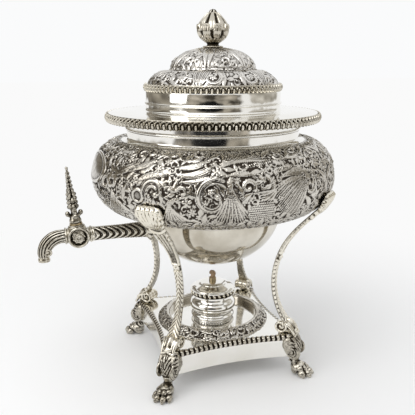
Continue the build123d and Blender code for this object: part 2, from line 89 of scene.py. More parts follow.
def meshFrom(name, shells):  # several surfaces in one mesh, with the darkness of their hollows
    offsets = np.cumsum([0] + [len(s[0]) for s in shells[:-1]])
    points = np.concatenate([s[0] for s in shells]) * mm
    triangles = np.concatenate([s[1] + o for s, o in zip(shells, offsets)])
    mesh = bpy.data.meshes.new(name)
    mesh.vertices.add(len(points))
    mesh.vertices.foreach_set("co", points.astype(np.float32).reshape(-1))
    mesh.loops.add(3 * len(triangles))
    mesh.loops.foreach_set("vertex_index", triangles.astype(np.int32).reshape(-1))
    mesh.polygons.add(len(triangles))
    mesh.polygons.foreach_set("loop_start", np.arange(0, 3 * len(triangles), 3, dtype=np.int32))
    mesh.update(calc_edges=True)
    hollow = mesh.attributes.new("hollow", "FLOAT", "POINT")
    hollow.data.foreach_set("value", np.concatenate([s[2] for s in shells]).astype(np.float32))
    return mesh


def placeObject(name, data):  # an object for a mesh, camera or light, linked to the scene
    made = bpy.data.objects.new(name, data)
    bpy.context.scene.collection.objects.link(made)
    return made


def addPiece(name, shells, body, finish, replaced=(), sharp=35):  # edges over sharp degrees stay crisp
    mesh = meshFrom(name, shells)
    mesh.shade_smooth()
    mesh.set_sharp_from_angle(angle=math.radians(sharp))
    piece = placeObject(name, mesh)
    mesh.materials.append(finish)
    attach(piece, body)
    if replaced:
        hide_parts(*replaced)


def turnShell(shell, angle):  # a surface turned about the upright axis
    points, triangles, dark = shell
    c, s = math.cos(math.radians(angle)), math.sin(math.radians(angle))
    return points @ np.array([[c, s, 0], [-s, c, 0], [0, 0, 1]]), triangles, dark


def moveShell(shell, matrix, place):  # a surface set in place: points times matrix, plus place
    points, triangles, dark = shell
    return points @ np.asarray(matrix, float) + np.asarray(place, float), triangles, dark


def smoothBlob(name, shells, cell, rounds):
    # several overlapping solids melted into one skin with cells of that size, then relaxed a few times
    mesh = meshFrom(name, shells)
    blob = placeObject(name, mesh)
    melt = blob.modifiers.new("melt", "REMESH")
    melt.mode = "VOXEL"
    melt.voxel_size = cell * mm
    relax = blob.modifiers.new("relax", "SMOOTH")
    relax.factor = 0.5
    relax.iterations = rounds
    bpy.context.view_layer.update()
    done = bpy.data.meshes.new_from_object(blob.evaluated_get(bpy.context.evaluated_depsgraph_get()))
    points = np.zeros(3 * len(done.vertices), np.float32)
    done.vertices.foreach_get("co", points)
    done.calc_loop_triangles()
    triangles = np.zeros(3 * len(done.loop_triangles), np.int32)
    done.loop_triangles.foreach_get("vertices", triangles)
    bpy.data.objects.remove(blob)
    bpy.data.meshes.remove(done)
    points = points.reshape(-1, 3).astype(float) / mm
    triangles = triangles.reshape(-1, 3)
    return points, triangles, hollowness(points, triangles, rounds=22, depth=0.30)


def hollowness(points, triangles, rounds, depth):
    # how far each point lies below the average of its neighbours, after a few rounds of averaging
    edges = np.concatenate([triangles[:, [0, 1]], triangles[:, [1, 2]], triangles[:, [2, 0]]])
    start, stop = np.concatenate([edges[:, 0], edges[:, 1]]), np.concatenate([edges[:, 1], edges[:, 0]])
    count = np.maximum(np.bincount(start, minlength=len(points)), 1)
    mean = points.copy()
    for _ in range(rounds):
        total = [np.bincount(start, mean[stop, axis], len(points)) / count for axis in range(3)]
        mean = 0.5 * mean + 0.5 * np.stack(total, -1)
    p, q, s = points[triangles[:, 0]], points[triangles[:, 1]], points[triangles[:, 2]]
    face = np.cross(q - p, s - p)
    normal = np.stack(
        [np.bincount(triangles.reshape(-1), np.repeat(face[:, axis], 3), len(points)) for axis in range(3)], -1
    )
    normal /= np.maximum(np.linalg.norm(normal, axis=1, keepdims=True), 1e-9)
    return np.clip(((mean - points) * normal).sum(1) / depth, 0, 1)


# Curves and turned surfaces

def cutCorners(points, rounds=2):  # each corner of a run of points is cut at a quarter, which rounds it
    points = np.asarray(points, float)
    for _ in range(rounds):
        near, far = points[:-1], points[1:]
        inner = np.stack([0.75 * near + 0.25 * far, 0.25 * near + 0.75 * far], 1).reshape(-1, points.shape[1])
        points = np.concatenate([points[:1], inner[1:-1], points[-1:]])
    return points


def evenly(points, count):  # the same run with points at even distances
    points = np.asarray(points, float)
    run = np.concatenate([[0], np.cumsum(np.linalg.norm(np.diff(points, axis=0), axis=1))])
    want = np.linspace(0, run[-1], count)
    return np.stack([np.interp(want, run, points[:, k]) for k in range(points.shape[1])], -1)


def ellipsePart(centre, radii, start, stop, count):  # centre + radii * (cos, sin) from start to stop degrees
    turn = np.radians(np.linspace(start, stop, count))
    return np.stack([centre[0] + radii[0] * np.cos(turn), centre[1] + radii[1] * np.sin(turn)], -1)


def around(count):  # even angles round a full turn, in radians
    return np.arange(count) * 2 * np.pi / count


def direction(path):  # unit vectors along a run of points
    along = np.gradient(path, axis=0)
    return along / np.maximum(np.linalg.norm(along, axis=1, keepdims=True), 1e-9)


def edgeFade(rows, cells):  # 0 at the first and last row, rising to 1 over so many rows
    row = np.arange(rows)
    return np.clip(np.minimum(row, row[::-1]) / cells, 0, 1)[:, None]


def outward(profile):  # unit normals of a run of (radius, height) points, to the right of its direction
    slope = np.gradient(profile, axis=0)
    normal = np.stack([slope[:, 1], -slope[:, 0]], -1)
    return normal / np.maximum(np.linalg.norm(normal, axis=1, keepdims=True), 1e-9)


def turned(profile, turns, lift=0.0):
    # x = r cos a, y = r sin a, z = height, with every point moved by lift along the profile's normal
    angle = around(turns)
    lift = np.broadcast_to(lift, (len(profile), turns))
    normal = outward(profile)
    radius = profile[:, :1] + normal[:, :1] * lift
    height = profile[:, 1:] + normal[:, 1:] * lift
    return np.stack([radius * np.cos(angle), radius * np.sin(angle), height], -1)


def turnedShell(profile, turns, lift=0.0, hollow=None, closed=False):  # turned, as one surface
    return gridShell(turned(np.asarray(profile, float), turns, lift), closed, True, hollow)


def ringShell(outer, inner, turns, lift, hollow):
    # a ring with a worked outer face and a plain inner face, closed at its top and bottom
    face = turned(outer, turns, lift)
    back = turned(inner[::-1], turns)
    dark = np.concatenate([np.broadcast_to(hollow, face.shape[:2]), np.zeros(back.shape[:2])])
    return gridShell(np.concatenate([face, back]), True, True, dark)


def ball(centre, radii, rows=14, columns=20):  # centre + radii * point of the unit sphere
    up = np.radians(np.linspace(-90, 90, rows))[:, None]
    lap = around(columns)
    unit = np.stack([np.cos(up) * np.cos(lap), np.cos(up) * np.sin(lap), np.sin(up) + 0 * lap], -1)
    return gridShell(unit * np.asarray(radii, float) + np.asarray(centre, float), False, True)


def ringsAcross(path, side, up, size, columns):
    # a ring of points round each point of a path: path point + size * (cos a * side + sin a * up)
    angle = around(columns)[None, :, None]
    return path[:, None] + size[..., None] * (np.cos(angle) * side[:, None] + np.sin(angle) * up[:, None])


def cappedShell(rings, dark):  # rings of points, closed at each end by the middle of the last ring
    caps = [np.broadcast_to(rings[k].mean(0), (1, rings.shape[1], 3)) for k in (0, -1)]
    tone = np.concatenate([dark[:1], dark, dark[-1:]])
    return gridShell(np.concatenate([caps[0], rings, caps[1]]), False, True, tone)


def tubeShell(path, radius, columns, section, lift=0.0):
    # a closed tube: path point + radius * (cos, sin) in the plane across the path, ends drawn in to a point
    path = np.asarray(path, float)
    along = direction(path)
    side = np.cross(along, section)
    side /= np.maximum(np.linalg.norm(side, axis=1, keepdims=True), 1e-9)
    up = np.cross(side, along)
    size = np.broadcast_to(np.asarray(radius, float), (len(path),))[:, None] + lift
    ring = ringsAcross(path, side, up, size, columns)
    ends = [np.broadcast_to(path[k], (1, columns, 3)) for k in (0, -1)]
    return gridShell(np.concatenate([ends[0], ring, ends[1]]), False, True)


# Chasing: a height field over (u, v) in millimetres, where each motif keeps the higher surface

def chasingField(widthU, widthV, columns, rows, lowU=0.0, lowV=0.0):  # a flat field, heights in millimetres
    return {
        "u": lowU + np.arange(columns) * widthU / columns,
        "v": lowV + np.arange(rows) * widthV / (rows - 1),
        "h": np.zeros((rows, columns)),
    }


def patch(field, low, high):  # the part of the field inside a box, as slices and its u and v
    i = np.searchsorted(field["u"], [low[0], high[0]])
    j = np.searchsorted(field["v"], [low[1], high[1]])
    rows, columns = slice(j[0], j[1]), slice(i[0], i[1])
    return (rows, columns), field["u"][columns][None, :], field["v"][rows][:, None]


def keepHigher(field, part, height):  # height = the greater of what is there and what is pressed
    field["h"][part] = np.maximum(field["h"][part], height)


def pressRidge(field, path, width, rise, soft=0.5):
    # height = rise * (1 - (distance / width)^2)^soft less a groove at half width, distance to the nearest path point
    path = evenly(path, max(int(len(path)), 24))
    run = np.linspace(0, 1, len(path))
    wide = np.interp(run, np.linspace(0, 1, len(width)), width)
    reach = wide.max()
    part, u, v = patch(field, path.min(0) - reach, path.max(0) + reach)
    if u.size == 0 or v.size == 0:
        return
    far = (u[..., None] - path[:, 0]) ** 2 + (v[..., None] - path[:, 1]) ** 2
    near = far.argmin(-1)
    share = np.take_along_axis(far, near[..., None], -1)[..., 0] / wide[near] ** 2
    height = np.clip(1 - share, 0, 1) ** soft * (0.55 + 0.45 * wide[near] / reach)
    if reach > 1.7:
        height -= 0.4 * np.exp(-((np.sqrt(share) - 0.52) / 0.13) ** 2)
    keepHigher(field, part, rise * height)


def pressLeaf(field, path, width, rise, lobes=5):
    # half width = width * sin(pi run)^0.6 with lobes; ribs slant back from a raised spine
    path = evenly(path, 40)
    run = np.linspace(0, 1, 40)
    wide = width * np.sin(np.pi * np.clip(run * 0.94 + 0.05, 0, 1)) ** 0.6
    part, u, v = patch(field, path.min(0) - width, path.max(0) + width)
    if u.size == 0 or v.size == 0:
        return
    along = direction(path)
    du, dv = u[..., None] - path[:, 0], v[..., None] - path[:, 1]
    near = (du ** 2 + dv ** 2).argmin(-1)
    du = np.take_along_axis(du, near[..., None], -1)[..., 0]
    dv = np.take_along_axis(dv, near[..., None], -1)[..., 0]
    side = (along[near, 0] * dv - along[near, 1] * du)
    gone = np.hypot(du, dv)
    place = run[near]
    slant = place * lobes * 2 - 1.6 * np.abs(side) / width
    edge = wide[near] * (0.84 + 0.16 * np.cos(2 * np.pi * slant / 2))
    share = gone / np.maximum(edge, 1e-6)
    rib = 0.62 + 0.38 * np.abs(np.cos(np.pi * slant))
    spine = np.clip(1 - np.abs(side) / 0.55, 0, 1) * 0.3
    height = rise * (np.clip(1 - share ** 2, 0, 1) ** 0.45 * rib + spine * (share < 1))
    keepHigher(field, part, np.where(share < 1, height, 0))


def curve(start, middle, end, count=26):  # quadratic through its two ends, pulled towards the middle point
    run = np.linspace(0, 1, count)[:, None]
    start, middle, end = (np.asarray(p, float) for p in (start, middle, end))
    return (1 - run) ** 2 * start + 2 * run * (1 - run) * middle + run ** 2 * end


def pressStrands(field, root, tips, bends, width, rise):
    # a spray of thin ridges from one root to a row of tips; each bows to its side by bend * length
    count = max(int(np.hypot(*np.subtract(tips[-1], tips[0])) / (1.55 * width)), 4)
    share = np.linspace(0, 1, count)
    ends = evenly(np.asarray(tips, float), count)
    bows = np.interp(share, np.linspace(0, 1, len(bends)), bends)
    for k in range(count):
        way = ends[k] - root
        middle = root + 0.5 * way + bows[k] * np.array([-way[1], way[0]])
        pressRidge(
            field, curve(root, middle, ends[k]), [width * 0.35, width * 0.7, width, width, width * 0.55],
            rise * (0.8 + 0.2 * (k % 2))
        )


def pressPlume(field, start, middle, end, width, rise):
    # a long leaf of parallel strands that part at its tip
    spine = curve(start, middle, end, 30)
    along = direction(spine)
    normal = np.stack([-along[:, 1], along[:, 0]], -1)
    run = np.linspace(0, 1, 30)[:, None]
    for k in (-2, -1, 0, 1, 2):
        spread = k * width * (0.12 + 0.42 * run) * np.sin(np.pi * np.clip(run * 0.8 + 0.12, 0, 1))
        path = (spine + normal * spread)[: 30 - 4 * abs(k)]
        pressRidge(field, path, [width * 0.12, width * 0.25, width * 0.27, width * 0.12], rise * (1 - 0.12 * abs(k)))


def pressFlower(field, centre, radius, petals, rise, turn=0.0):
    # petal edge at radius * (0.62 + 0.38 |cos(petals a / 2)|); each petal is dished, round a bead
    part, u, v = patch(field, np.subtract(centre, radius), np.add(centre, radius))
    if u.size == 0 or v.size == 0:
        return
    du, dv = u - centre[0], v - centre[1]
    out = np.hypot(du, dv)
    lobe = np.abs(np.cos(petals * (np.arctan2(dv, du) - turn) / 2))
    edge = radius * (0.6 + 0.4 * lobe ** 0.8)
    petal = rise * np.clip(1 - (out / edge) ** 4, 0, 1) * (0.45 + 0.55 * lobe) * (0.7 + 0.3 * out / radius)
    bead = rise * 1.1 * np.clip(1 - (out / (0.24 * radius)) ** 2, 0, 1) ** 0.5
    keepHigher(field, part, np.maximum(petal, bead))


def pressPlain(field, centre, radii, rise, level):
    # a plain oval at one level inside a rounded rim
    part, u, v = patch(field, np.subtract(centre, np.multiply(radii, 1.25)), np.add(centre, np.multiply(radii, 1.25)))
    share = np.hypot((u - centre[0]) / radii[0], (v - centre[1]) / radii[1])
    rim = rise * np.clip(1 - ((share - 1) * min(radii) / 1.7) ** 2, 0, 1) ** 0.5
    inside = field["h"][part]
    inside = np.where(share < 1, level, inside)
    field["h"][part] = np.maximum(inside, rim)


def pressScales(field, centre, radii, rise, size):
    # overlapping scales on a brick lattice, inside an oval
    part, u, v = patch(field, np.subtract(centre, radii), np.add(centre, radii))
    share = np.hypot((u - centre[0]) / radii[0], (v - centre[1]) / radii[1])
    row = np.floor(v / size)
    cellU = (u / size + 0.5 * (row % 2)) % 1 - 0.5
    cellV = (v / size) % 1 - 0.5
    scale = np.clip(1 - (cellU ** 2 + cellV ** 2) * 3.4, 0, 1) ** 0.5
    empty = field["h"][part] < 0.25 * rise
    field["h"][part] = np.where((share < 1) & empty, rise * (0.25 + 0.75 * scale), field["h"][part])


def scroll(centre, radius, start, sweep, tighten=0.8, count=60):
    # spiral arm: radius * (1 - tighten * run^1.6), turning by sweep degrees from start
    run = np.linspace(0, 1, count)
    turn = np.radians(start + sweep * run)
    out = radius * (1 - tighten * run ** 1.6)
    return np.stack([centre[0] + out * np.cos(turn), centre[1] + out * np.sin(turn)], -1)


def pressScroll(field, centre, radius, start, sweep, width, rise, tighten=0.8):
    # a rolled C: a broad ridge with a thin one beside it, and a bead in its eye
    arm = scroll(centre, radius, start, sweep, tighten)
    pressRidge(field, arm, [width * 0.5, width, width, width * 0.75, width * 0.5], rise)
    pressRidge(field, scroll(centre, radius * 0.78, start, sweep, tighten), [width * 0.3], rise * 0.55)
    pressRidge(field, np.stack([arm[-1], arm[-1] + 0.01]), [width * 0.9], rise * 1.15)


def averaged(values, reach):  # running mean over a square of cells, by shifting the array
    total = np.zeros_like(values)
    for shift in range(-reach, reach + 1):
        total += np.roll(values, shift, 1)
    values = total / (2 * reach + 1)
    padded = np.pad(values, ((reach, reach), (0, 0)), mode="edge")
    total = np.zeros_like(values)
    for shift in range(2 * reach + 1):
        total += padded[shift:shift + values.shape[0]]
    return total / (2 * reach + 1)


def darkHollows(height, reach, depth):  # where the height lies below its surroundings, from 0 to 1
    wide = averaged(height, reach)
    near = averaged(height, max(reach // 3, 1))
    return np.clip(((wide - height) * 0.9 + (near - height) * 1.2) / depth + 0.18, 0, 1)


def fillBare(field, seed, pitch, size, rise, margin):
    # small sprigs on a jittered lattice wherever the field is still low
    dice = np.random.default_rng(seed)
    u, v = field["u"], field["v"]
    for cu in np.arange(u[0] + pitch / 2, u[-1], pitch):
        for cv in np.arange(v[0] + margin, v[-1] - margin, pitch * 0.8):
            spot = np.array([cu, cv]) + dice.uniform(-0.35, 0.35, 2) * pitch
            part, pu, pv = patch(field, spot - size * 0.4, spot + size * 0.4)
            if pu.size == 0 or pv.size == 0 or field["h"][part].mean() > 0.4 * rise:
                continue
            kind, turn, big = dice.integers(0, 5), dice.uniform(0, 2 * math.pi), size * dice.uniform(0.75, 1.2)
            way = big * np.array([math.cos(turn), math.sin(turn)])
            bow = dice.uniform(-0.5, 0.5) * np.array([-way[1], way[0]])
            if kind == 0:
                pressFlower(field, spot, big * 0.75, int(dice.integers(4, 7)), rise, turn)
            elif kind == 1:
                pressScroll(
                    field, spot, big * 0.7, math.degrees(turn), 290 * (1 if bow[0] > 0 else -1), big * 0.17, rise
                )
            else:
                pressPlume(field, spot - way, spot + bow, spot + way, big * 0.5, rise)


# Finishes

def setInputs(tree, node, inputs):  # each input takes a value, or a link from another node's output
    for key, value in inputs.items():
        if isinstance(value, bpy.types.NodeSocket):
            tree.links.new(value, node.inputs[key])
        else:
            node.inputs[key].default_value = value
    return node


def addNode(tree, kind, inputs, **settings):  # a shader node with its properties and its inputs set
    node = tree.nodes.new("ShaderNode" + kind)
    for key, value in settings.items():
        setattr(node, key, value)
    return setInputs(tree, node, inputs)


def newFinish(name):  # a finish, its node tree and its shader
    finish = bpy.data.materials.new(name)
    finish.use_nodes = True
    return finish, finish.node_tree, finish.node_tree.nodes["Principled BSDF"]


def noiseAt(tree, scale, detail=4.0, stretch=(1, 1, 1)):  # noise on Object coordinates, scale in waves per metre
    place = addNode(tree, "TexCoord", {}).outputs["Object"]
    spot = addNode(tree, "Mapping", {"Vector": place, "Scale": stretch}).outputs["Vector"]
    return addNode(tree, "TexNoise", {"Vector": spot, "Scale": scale, "Detail": detail}).outputs["Fac"]


def rampBetween(tree, source, low, high, start, stop):  # a colour or grey that runs from start to stop
    ramp = addNode(tree, "ValToRGB", {"Fac": source})
    for element, position, tone in zip(ramp.color_ramp.elements, (low, high), (start, stop)):
        element.position = position
        element.color = (*tone, 1) if isinstance(tone, tuple) else (tone, tone, tone, 1)
    return ramp.outputs["Color"]


def mixColours(tree, factor, first, second):  # inputs 6 and 7 and output 2 of a mix node are its colours
    tones = [(*tone, 1) if isinstance(tone, tuple) else tone for tone in (first, second)]
    return addNode(tree, "Mix", {0: factor, 6: tones[0], 7: tones[1]}, data_type="RGBA").outputs[2]


def bumpFrom(tree, source, strength, distance):  # a normal that follows a grey value, its height in millimetres
    inputs = {"Height": source, "Strength": strength, "Distance": distance * mm}
    return addNode(tree, "Bump", inputs).outputs["Normal"]


def silverFinish(name, bright, tint, dark, rough, patina=0.0, grain=0.15, scratch=0.02):
    # silver plate: two close tones in soft clouds, tarnish that gathers in the hollows, fine polishing marks
    finish, tree, shader = newFinish(name)
    base = rampBetween(tree, noiseAt(tree, 28, 5), 0.35, 0.7, bright, tint)
    if patina > 0:
        hollow = addNode(tree, "Attribute", {}, attribute_name="hollow").outputs["Fac"]
        speckle = noiseAt(tree, 420, 5)
        worn = addNode(tree, "Math", {0: speckle, 1: 0.5, 2: hollow}, operation="MULTIPLY_ADD").outputs["Value"]
        amount = rampBetween(tree, worn, 0.36, 0.36 + 0.75 / patina, 0.0, 1.0)
        base = mixColours(tree, amount, base, dark)
        roughness = rampBetween(tree, worn, 0.3, 0.95, rough, min(rough + 0.35, 0.8))
    else:
        roughness = rampBetween(tree, noiseAt(tree, 90, 6, (1, 1, 0.35)), 0.35, 0.75, rough, rough + 0.07)
    normal = bumpFrom(tree, noiseAt(tree, 900, 3, (1, 1, 0.2)), grain, scratch)
    setInputs(tree, shader, {"Metallic": 1.0, "Base Color": base, "Roughness": roughness, "Normal": normal})
    return finish


polishedSilver = silverFinish(
    "polished_silver", (0.90, 0.885, 0.85), (0.83, 0.81, 0.75), (0.3, 0.27, 0.2), 0.07, grain=0.06
)
# chased silver: its dark brown base tones are partly the tarnish of the worked metal and partly painted reflection,
# set darker to stand in for the dark surroundings that the chased parts mirror; the darkest tone is the tarnish in
# the hollows
chasedSilver = silverFinish(
    "chased_silver", (0.73, 0.70, 0.64), (0.46, 0.428, 0.372), (0.046, 0.037, 0.029), 0.12, patina=2.15, grain=0.3
)
lidSilver = silverFinish(
    "lid_silver", (0.79, 0.765, 0.72), (0.56, 0.53, 0.485), (0.060, 0.050, 0.040), 0.13, patina=1.9, grain=0.3
)
bowlSilver = silverFinish(
    "bowl_silver", (0.76, 0.722, 0.64), (0.44, 0.396, 0.315), (0.20, 0.155, 0.10), 0.075, grain=0.08
)
castSilver = silverFinish(
    "cast_silver", (0.87, 0.83, 0.73), (0.74, 0.69, 0.58), (0.060, 0.046, 0.028), 0.17, patina=2.4, grain=0.3
)
agedSilver = silverFinish(
    "aged_silver", (0.76, 0.72, 0.63), (0.46, 0.42, 0.34), (0.032, 0.025, 0.016), 0.17, patina=3.2, grain=0.3
)
brushedSilver = silverFinish(
    "brushed_silver", (0.86, 0.85, 0.82), (0.79, 0.77, 0.72), (0.3, 0.27, 0.2), 0.22, grain=0.35, scratch=0.03
)


def brassFinish():  # dull brass in two soft tones
    finish, tree, shader = newFinish("ground_brass")
    clouds = noiseAt(tree, 120, 5)
    base = rampBetween(tree, clouds, 0.3, 0.75, (0.52, 0.42, 0.26), (0.30, 0.23, 0.13))
    roughness = rampBetween(tree, clouds, 0.3, 0.7, 0.28, 0.45)
    setInputs(tree, shader, {"Metallic": 1.0, "Base Color": base, "Roughness": roughness})
    return finish


def wickFinish():
    # twisted cotton: a slanting wave for the strands, tan below and browned towards the burnt end
    finish, tree, shader = newFinish("wick_cotton")
    place = addNode(tree, "TexCoord", {}).outputs["Object"]
    turns = {"Vector": place, "Scale": 260, "Distortion": 2.5}
    wave = addNode(tree, "TexWave", turns, bands_direction="DIAGONAL").outputs["Fac"]
    height = addNode(tree, "SeparateXYZ", {"Vector": place}).outputs["Z"]
    rise = addNode(tree, "MapRange", {"Value": height, "From Min": 0.094, "From Max": 0.103}).outputs["Result"]
    colour = rampBetween(tree, rise, 0.0, 1.0, (0.30, 0.17, 0.07), (0.13, 0.06, 0.025))
    strands = rampBetween(tree, wave, 0.2, 0.8, (0.25, 0.16, 0.09), (0.8, 0.66, 0.46))
    base = mixColours(tree, 0.4, colour, strands)
    setInputs(tree, shader, {"Base Color": base, "Roughness": 0.9, "Normal": bumpFrom(tree, wave, 0.8, 0.3)})
    return finish


groundBrass = brassFinish()
wickCotton = wickFinish()
slotFinish = {
    "polished_silver": polishedSilver, "chased_silver": chasedSilver, "cast_silver": castSilver,
    "plug_brass": groundBrass, "wick_cotton": wickCotton,
}
for part in frame["record"]["subparts"]:  # every CAD node that stays in view gets its slot's finish
    mesh = frame["nodes"][part["node"]].data
    mesh.materials.clear()
    mesh.materials.append(slotFinish[part["material_slot"]])
print("finishes ready")


# Belly: a bulging ring worked with scrolls, shells, leaves and flowers

belly = {
    "columns": 1120, "rows": 178, "bands": 4, "rise": 1.7, "sink": 0.9, "seed": 7, "mattingSeed": 3,
    "perDegree": 2.27, "perTilt": 0.6, "edge": 98.0, "skin": 2.6, "skinSteps": 4, "tall": 108,
}


def bellySpot(turn, tilt):  # degrees round the belly and up its section, as millimetres on its surface
    return np.array([turn * belly["perDegree"], tilt * belly["perTilt"]])


def workBelly(field, rise):
    # the right-hand half's motifs at (degrees round, degrees up): panel, scrolls, strands, plumes, flowers, scales,
    # then a row of scrolls and leaves along the top, and sprigs where the metal is still bare
    at = bellySpot
    pressPlain(field, at(-90, 22), (36, 14.5), rise * 0.9, rise * 0.5)
    for turn, tilt, radius, start, sweep, width in (
        (-42.3, 4, 12.6, 205, -260, 3.0), (-42.8, 3, 7.4, 190, -250, 2.0), (-17.6, -1, 16.8, 62, 330, 3.4),
        (-4.0, 14, 6.6, -30, 340, 2.2), (-52, -3, 0.1, 0, 10, 0.1), (26.5, 8, 9.0, 60, -300, 2.4),
        (-70.5, 4, 8, 80, 230, 2.4), (-69.5, 46, 7, -60, -240, 2.2), (-30.5, 6, 5.4, 160, -230, 1.6),
        (-2, 66, 9.0, 150, -230, 2.2), (34, 52, 8.5, 190, -270, 2.2), (45, -4, 12.5, 110, 300, 3.0),
        (62, 26, 9.5, 200, -280, 2.4), (75, -12, 13, 60, 310, 3.0), (-61, -22, 8, 20, 280, 2.2),
        (-78, -30, 9, 150, -280, 2.2), (-53, 62, 7, 10, 260, 1.9), (84, 50, 9, 30, 280, 2.2),
        (52, 58, 8, 160, 270, 2.0),
    ):
        pressScroll(field, at(turn, tilt), radius, start, sweep, width, rise)
    for root, tips, bends, width in (
        ((-11.8, 22), ((-17.5, -30), (-15, -42), (-5, -42), (-3, -28)), (0.10, 0.02, -0.10), 1.35),
        ((25.5, 19), ((6, 2), (9, -18), (14, -36), (21, -38)), (-0.30, -0.18, -0.02), 1.35),
        ((-15, 44), ((-15, 80), (-4, 78), (6, 66), (8, 50)), (-0.22, -0.12, 0.16), 1.3),
        ((56, 18), ((47, -34), (55, -42), (66, -36)), (0.14, 0.0, -0.14), 1.35),
        ((89, 12), ((74, -28), (82, -42), (90, -42)), (0.18, 0.0), 1.35),
        ((-66, 0), ((-72, -36), (-64, -42), (-55, -34)), (0.16, 0.0, -0.12), 1.25),
        ((44, 50), ((38, 80), (48, 82), (58, 74)), (-0.16, 0.12), 1.25),
        ((-36, -8), ((-42, -40), (-34, -44), (-27, -40)), (0.14, -0.1), 1.25),
        ((8, 10), ((5, -8), (1, -4), (0, 6)), (0.2, 0.1), 1.2),
    ):
        pressStrands(field, at(*root), [at(*t) for t in tips], bends, width, rise * 0.95)
    for start, middle, end, width in (
        ((-34, 33), (-22, 24), (-16, 56), 4.6), ((-35, 44), (-25, 38), (-18, 66), 4.2),
        ((-30, 56), (-24, 52), (-22, 76), 3.6),
        ((-31, 22), (-22, 20), (-13, 34), 3.8), ((-13, 30), (-8, 38), (2, 30), 3.2),
        ((-24, 8), (-27, 22), (-18, 30), 3.0),
        ((10, 24), (18, 36), (32, 26), 4.4), ((8, 14), (16, 20), (24, 24), 3.4), ((5, 26), (8, 44), (28, 36), 3.0),
        ((-52, 14), (-46, 34), (-34, 30), 3.8), ((-66, 18), (-58, 34), (-50, 48), 4.4),
        ((-56, 30), (-48, 44), (-40, 60), 4.0),
        ((-74, -18), (-62, -42), (-48, -36), 4.2), ((-86, -10), (-74, -20), (-66, -4), 4.0),
        ((34, 26), (42, 10), (38, -12), 4.4),
        ((-8, 38), (2, 56), (22, 54), 3.0), ((30, -14), (36, -36), (48, -40), 4.2),
        ((64, 6), (72, 26), (86, 26), 4.4),
        ((58, 52), (70, 62), (82, 56), 4.0), ((66, -38), (78, -46), (89, -30), 4.0),
        ((22, -6), (30, -20), (27, -40), 3.8),
        ((-46, 68), (-36, 60), (-28, 82), 3.6), ((14, 58), (24, 50), (30, 72), 3.8),
        ((18, 76), (24, 62), (12, 52), 3.4),
        ((-72, 70), (-62, 56), (-56, 80), 3.6), ((62, 78), (70, 66), (84, 78), 3.6),
        ((-88, 62), (-80, 50), (-76, 76), 3.6),
    ):
        pressPlume(field, at(*start), at(*middle), at(*end), width, rise * 0.95)
    for turn, tilt, radius, petals in (
        (-28.5, -8, 5.4, 5), (-26.5, -22, 5.0, 6), (-31, -28, 4.2, 5), (-21.5, -8, 3.8, 5), (-19, 8, 3.4, 5),
        (-38, 52, 5.0, 6), (-52, 18, 4.8, 5), (-60, 8, 5.0, 6), (-58, 50, 4.6, 5), (3, 36, 4.2, 6), (9, 33, 4.0, 5),
        (16, 40, 4.2, 6), (22, 36, 3.8, 5), (2, 46, 3.8, 5), (32, 38, 4.8, 6), (38, 30, 5.2, 6), (36, -2, 4.6, 5),
        (44, 38, 4.8, 6), (70, -2, 5.2, 6), (66, 46, 4.8, 5), (80, 10, 5.0, 6), (-66, 62, 4.4, 5), (-84, -24, 4.8, 5),
        (28, 58, 4.4, 6), (4, -2, 3.6, 5), (10, -6, 3.4, 6), (52, 10, 4.6, 5),
    ):
        pressFlower(field, at(turn, tilt), radius, petals, rise * 0.95, turn)
    pressPlain(field, at(-50.2, -3), (5.6, 5.6), rise * 0.8, rise * 0.35)
    pressScales(field, at(2.5, -25), (14, 12.5), rise * 0.5, 2.3)
    pressScales(field, at(30, -52), (12, 6), rise * 0.45, 2.3)
    pressScales(field, at(-80, -52), (14, 6), rise * 0.45, 2.3)
    for k in range(15):
        lean = 1 if k % 2 else -1
        pressScroll(field, at(-84 + 12 * k, 68 + 5 * lean), 6.2, 90 + 70 * lean, lean * 280, 1.9, rise)
        place = [at(-80 + 12 * k, 56), at(-80 + 12 * k + 3 * lean, 76), at(-77 + 12 * k + 7 * lean, 84)]
        pressPlume(field, *place, 3.8, rise)
    fillBare(field, belly["seed"], 7.0, 6.0, rise * 0.62, 3)
    fillBare(field, belly["seed"] + 1, 4.2, 3.6, rise * 0.4, 2)
    field["h"] *= np.clip((54 - np.abs(field["v"])) / 4, 0, 1)[:, None]


def makeBelly():
    # right half of an ellipse turned about the axis, r = 98 + swell cos a and z = middle + half height sin a,
    # lifted by the chased field and its mirror image, in bands one above the other
    low, high = boxMm("vessel_belly")
    middle, halfHeight = (low[2] + high[2]) / 2, (high[2] - low[2]) / 2
    edgeRadius = belly["edge"]
    swell = high[0] - edgeRadius
    rows, columns, bands = belly["rows"], belly["columns"], belly["bands"]
    half = chasingField(
        180 * belly["perDegree"], belly["tall"], columns // 2, rows, -90 * belly["perDegree"], -belly["tall"] / 2
    )
    workBelly(half, belly["rise"])
    height = np.concatenate([half["h"], half["h"][:, ::-1]], 1)
    height = np.roll(height, -columns // 4, 1)  # column 0 is the right-hand side, +X
    dice = np.random.default_rng(belly["mattingSeed"])
    matting = averaged(dice.uniform(-0.28, 0.28, height.shape), 1) * (height < 0.3)
    hollow = darkHollows(height, 6, 1.35)
    lift = height + matting - belly["sink"]
    lift *= edgeFade(rows, 3)
    outer = ellipsePart((edgeRadius, middle), (swell, halfHeight), -90, 90, rows)
    skin, steps = belly["skin"], belly["skinSteps"]
    inner = ellipsePart((edgeRadius, middle), (swell - skin, halfHeight - skin), -90, 90, steps * bands + 1)
    cuts = np.linspace(0, rows - 1, bands + 1).astype(int)
    for k in range(bands):
        take = slice(cuts[k], cuts[k + 1] + 1)
        shell = ringShell(outer[take], inner[steps * k:steps * k + steps + 1], columns, lift[take], hollow[take])
        addPiece("belly%d" % (k + 1), [shell], "urn", chasedSilver, ["vessel_belly"], 60)


makeBelly()
print("belly made")


# Bowl, shoulder, neck, rim and collar

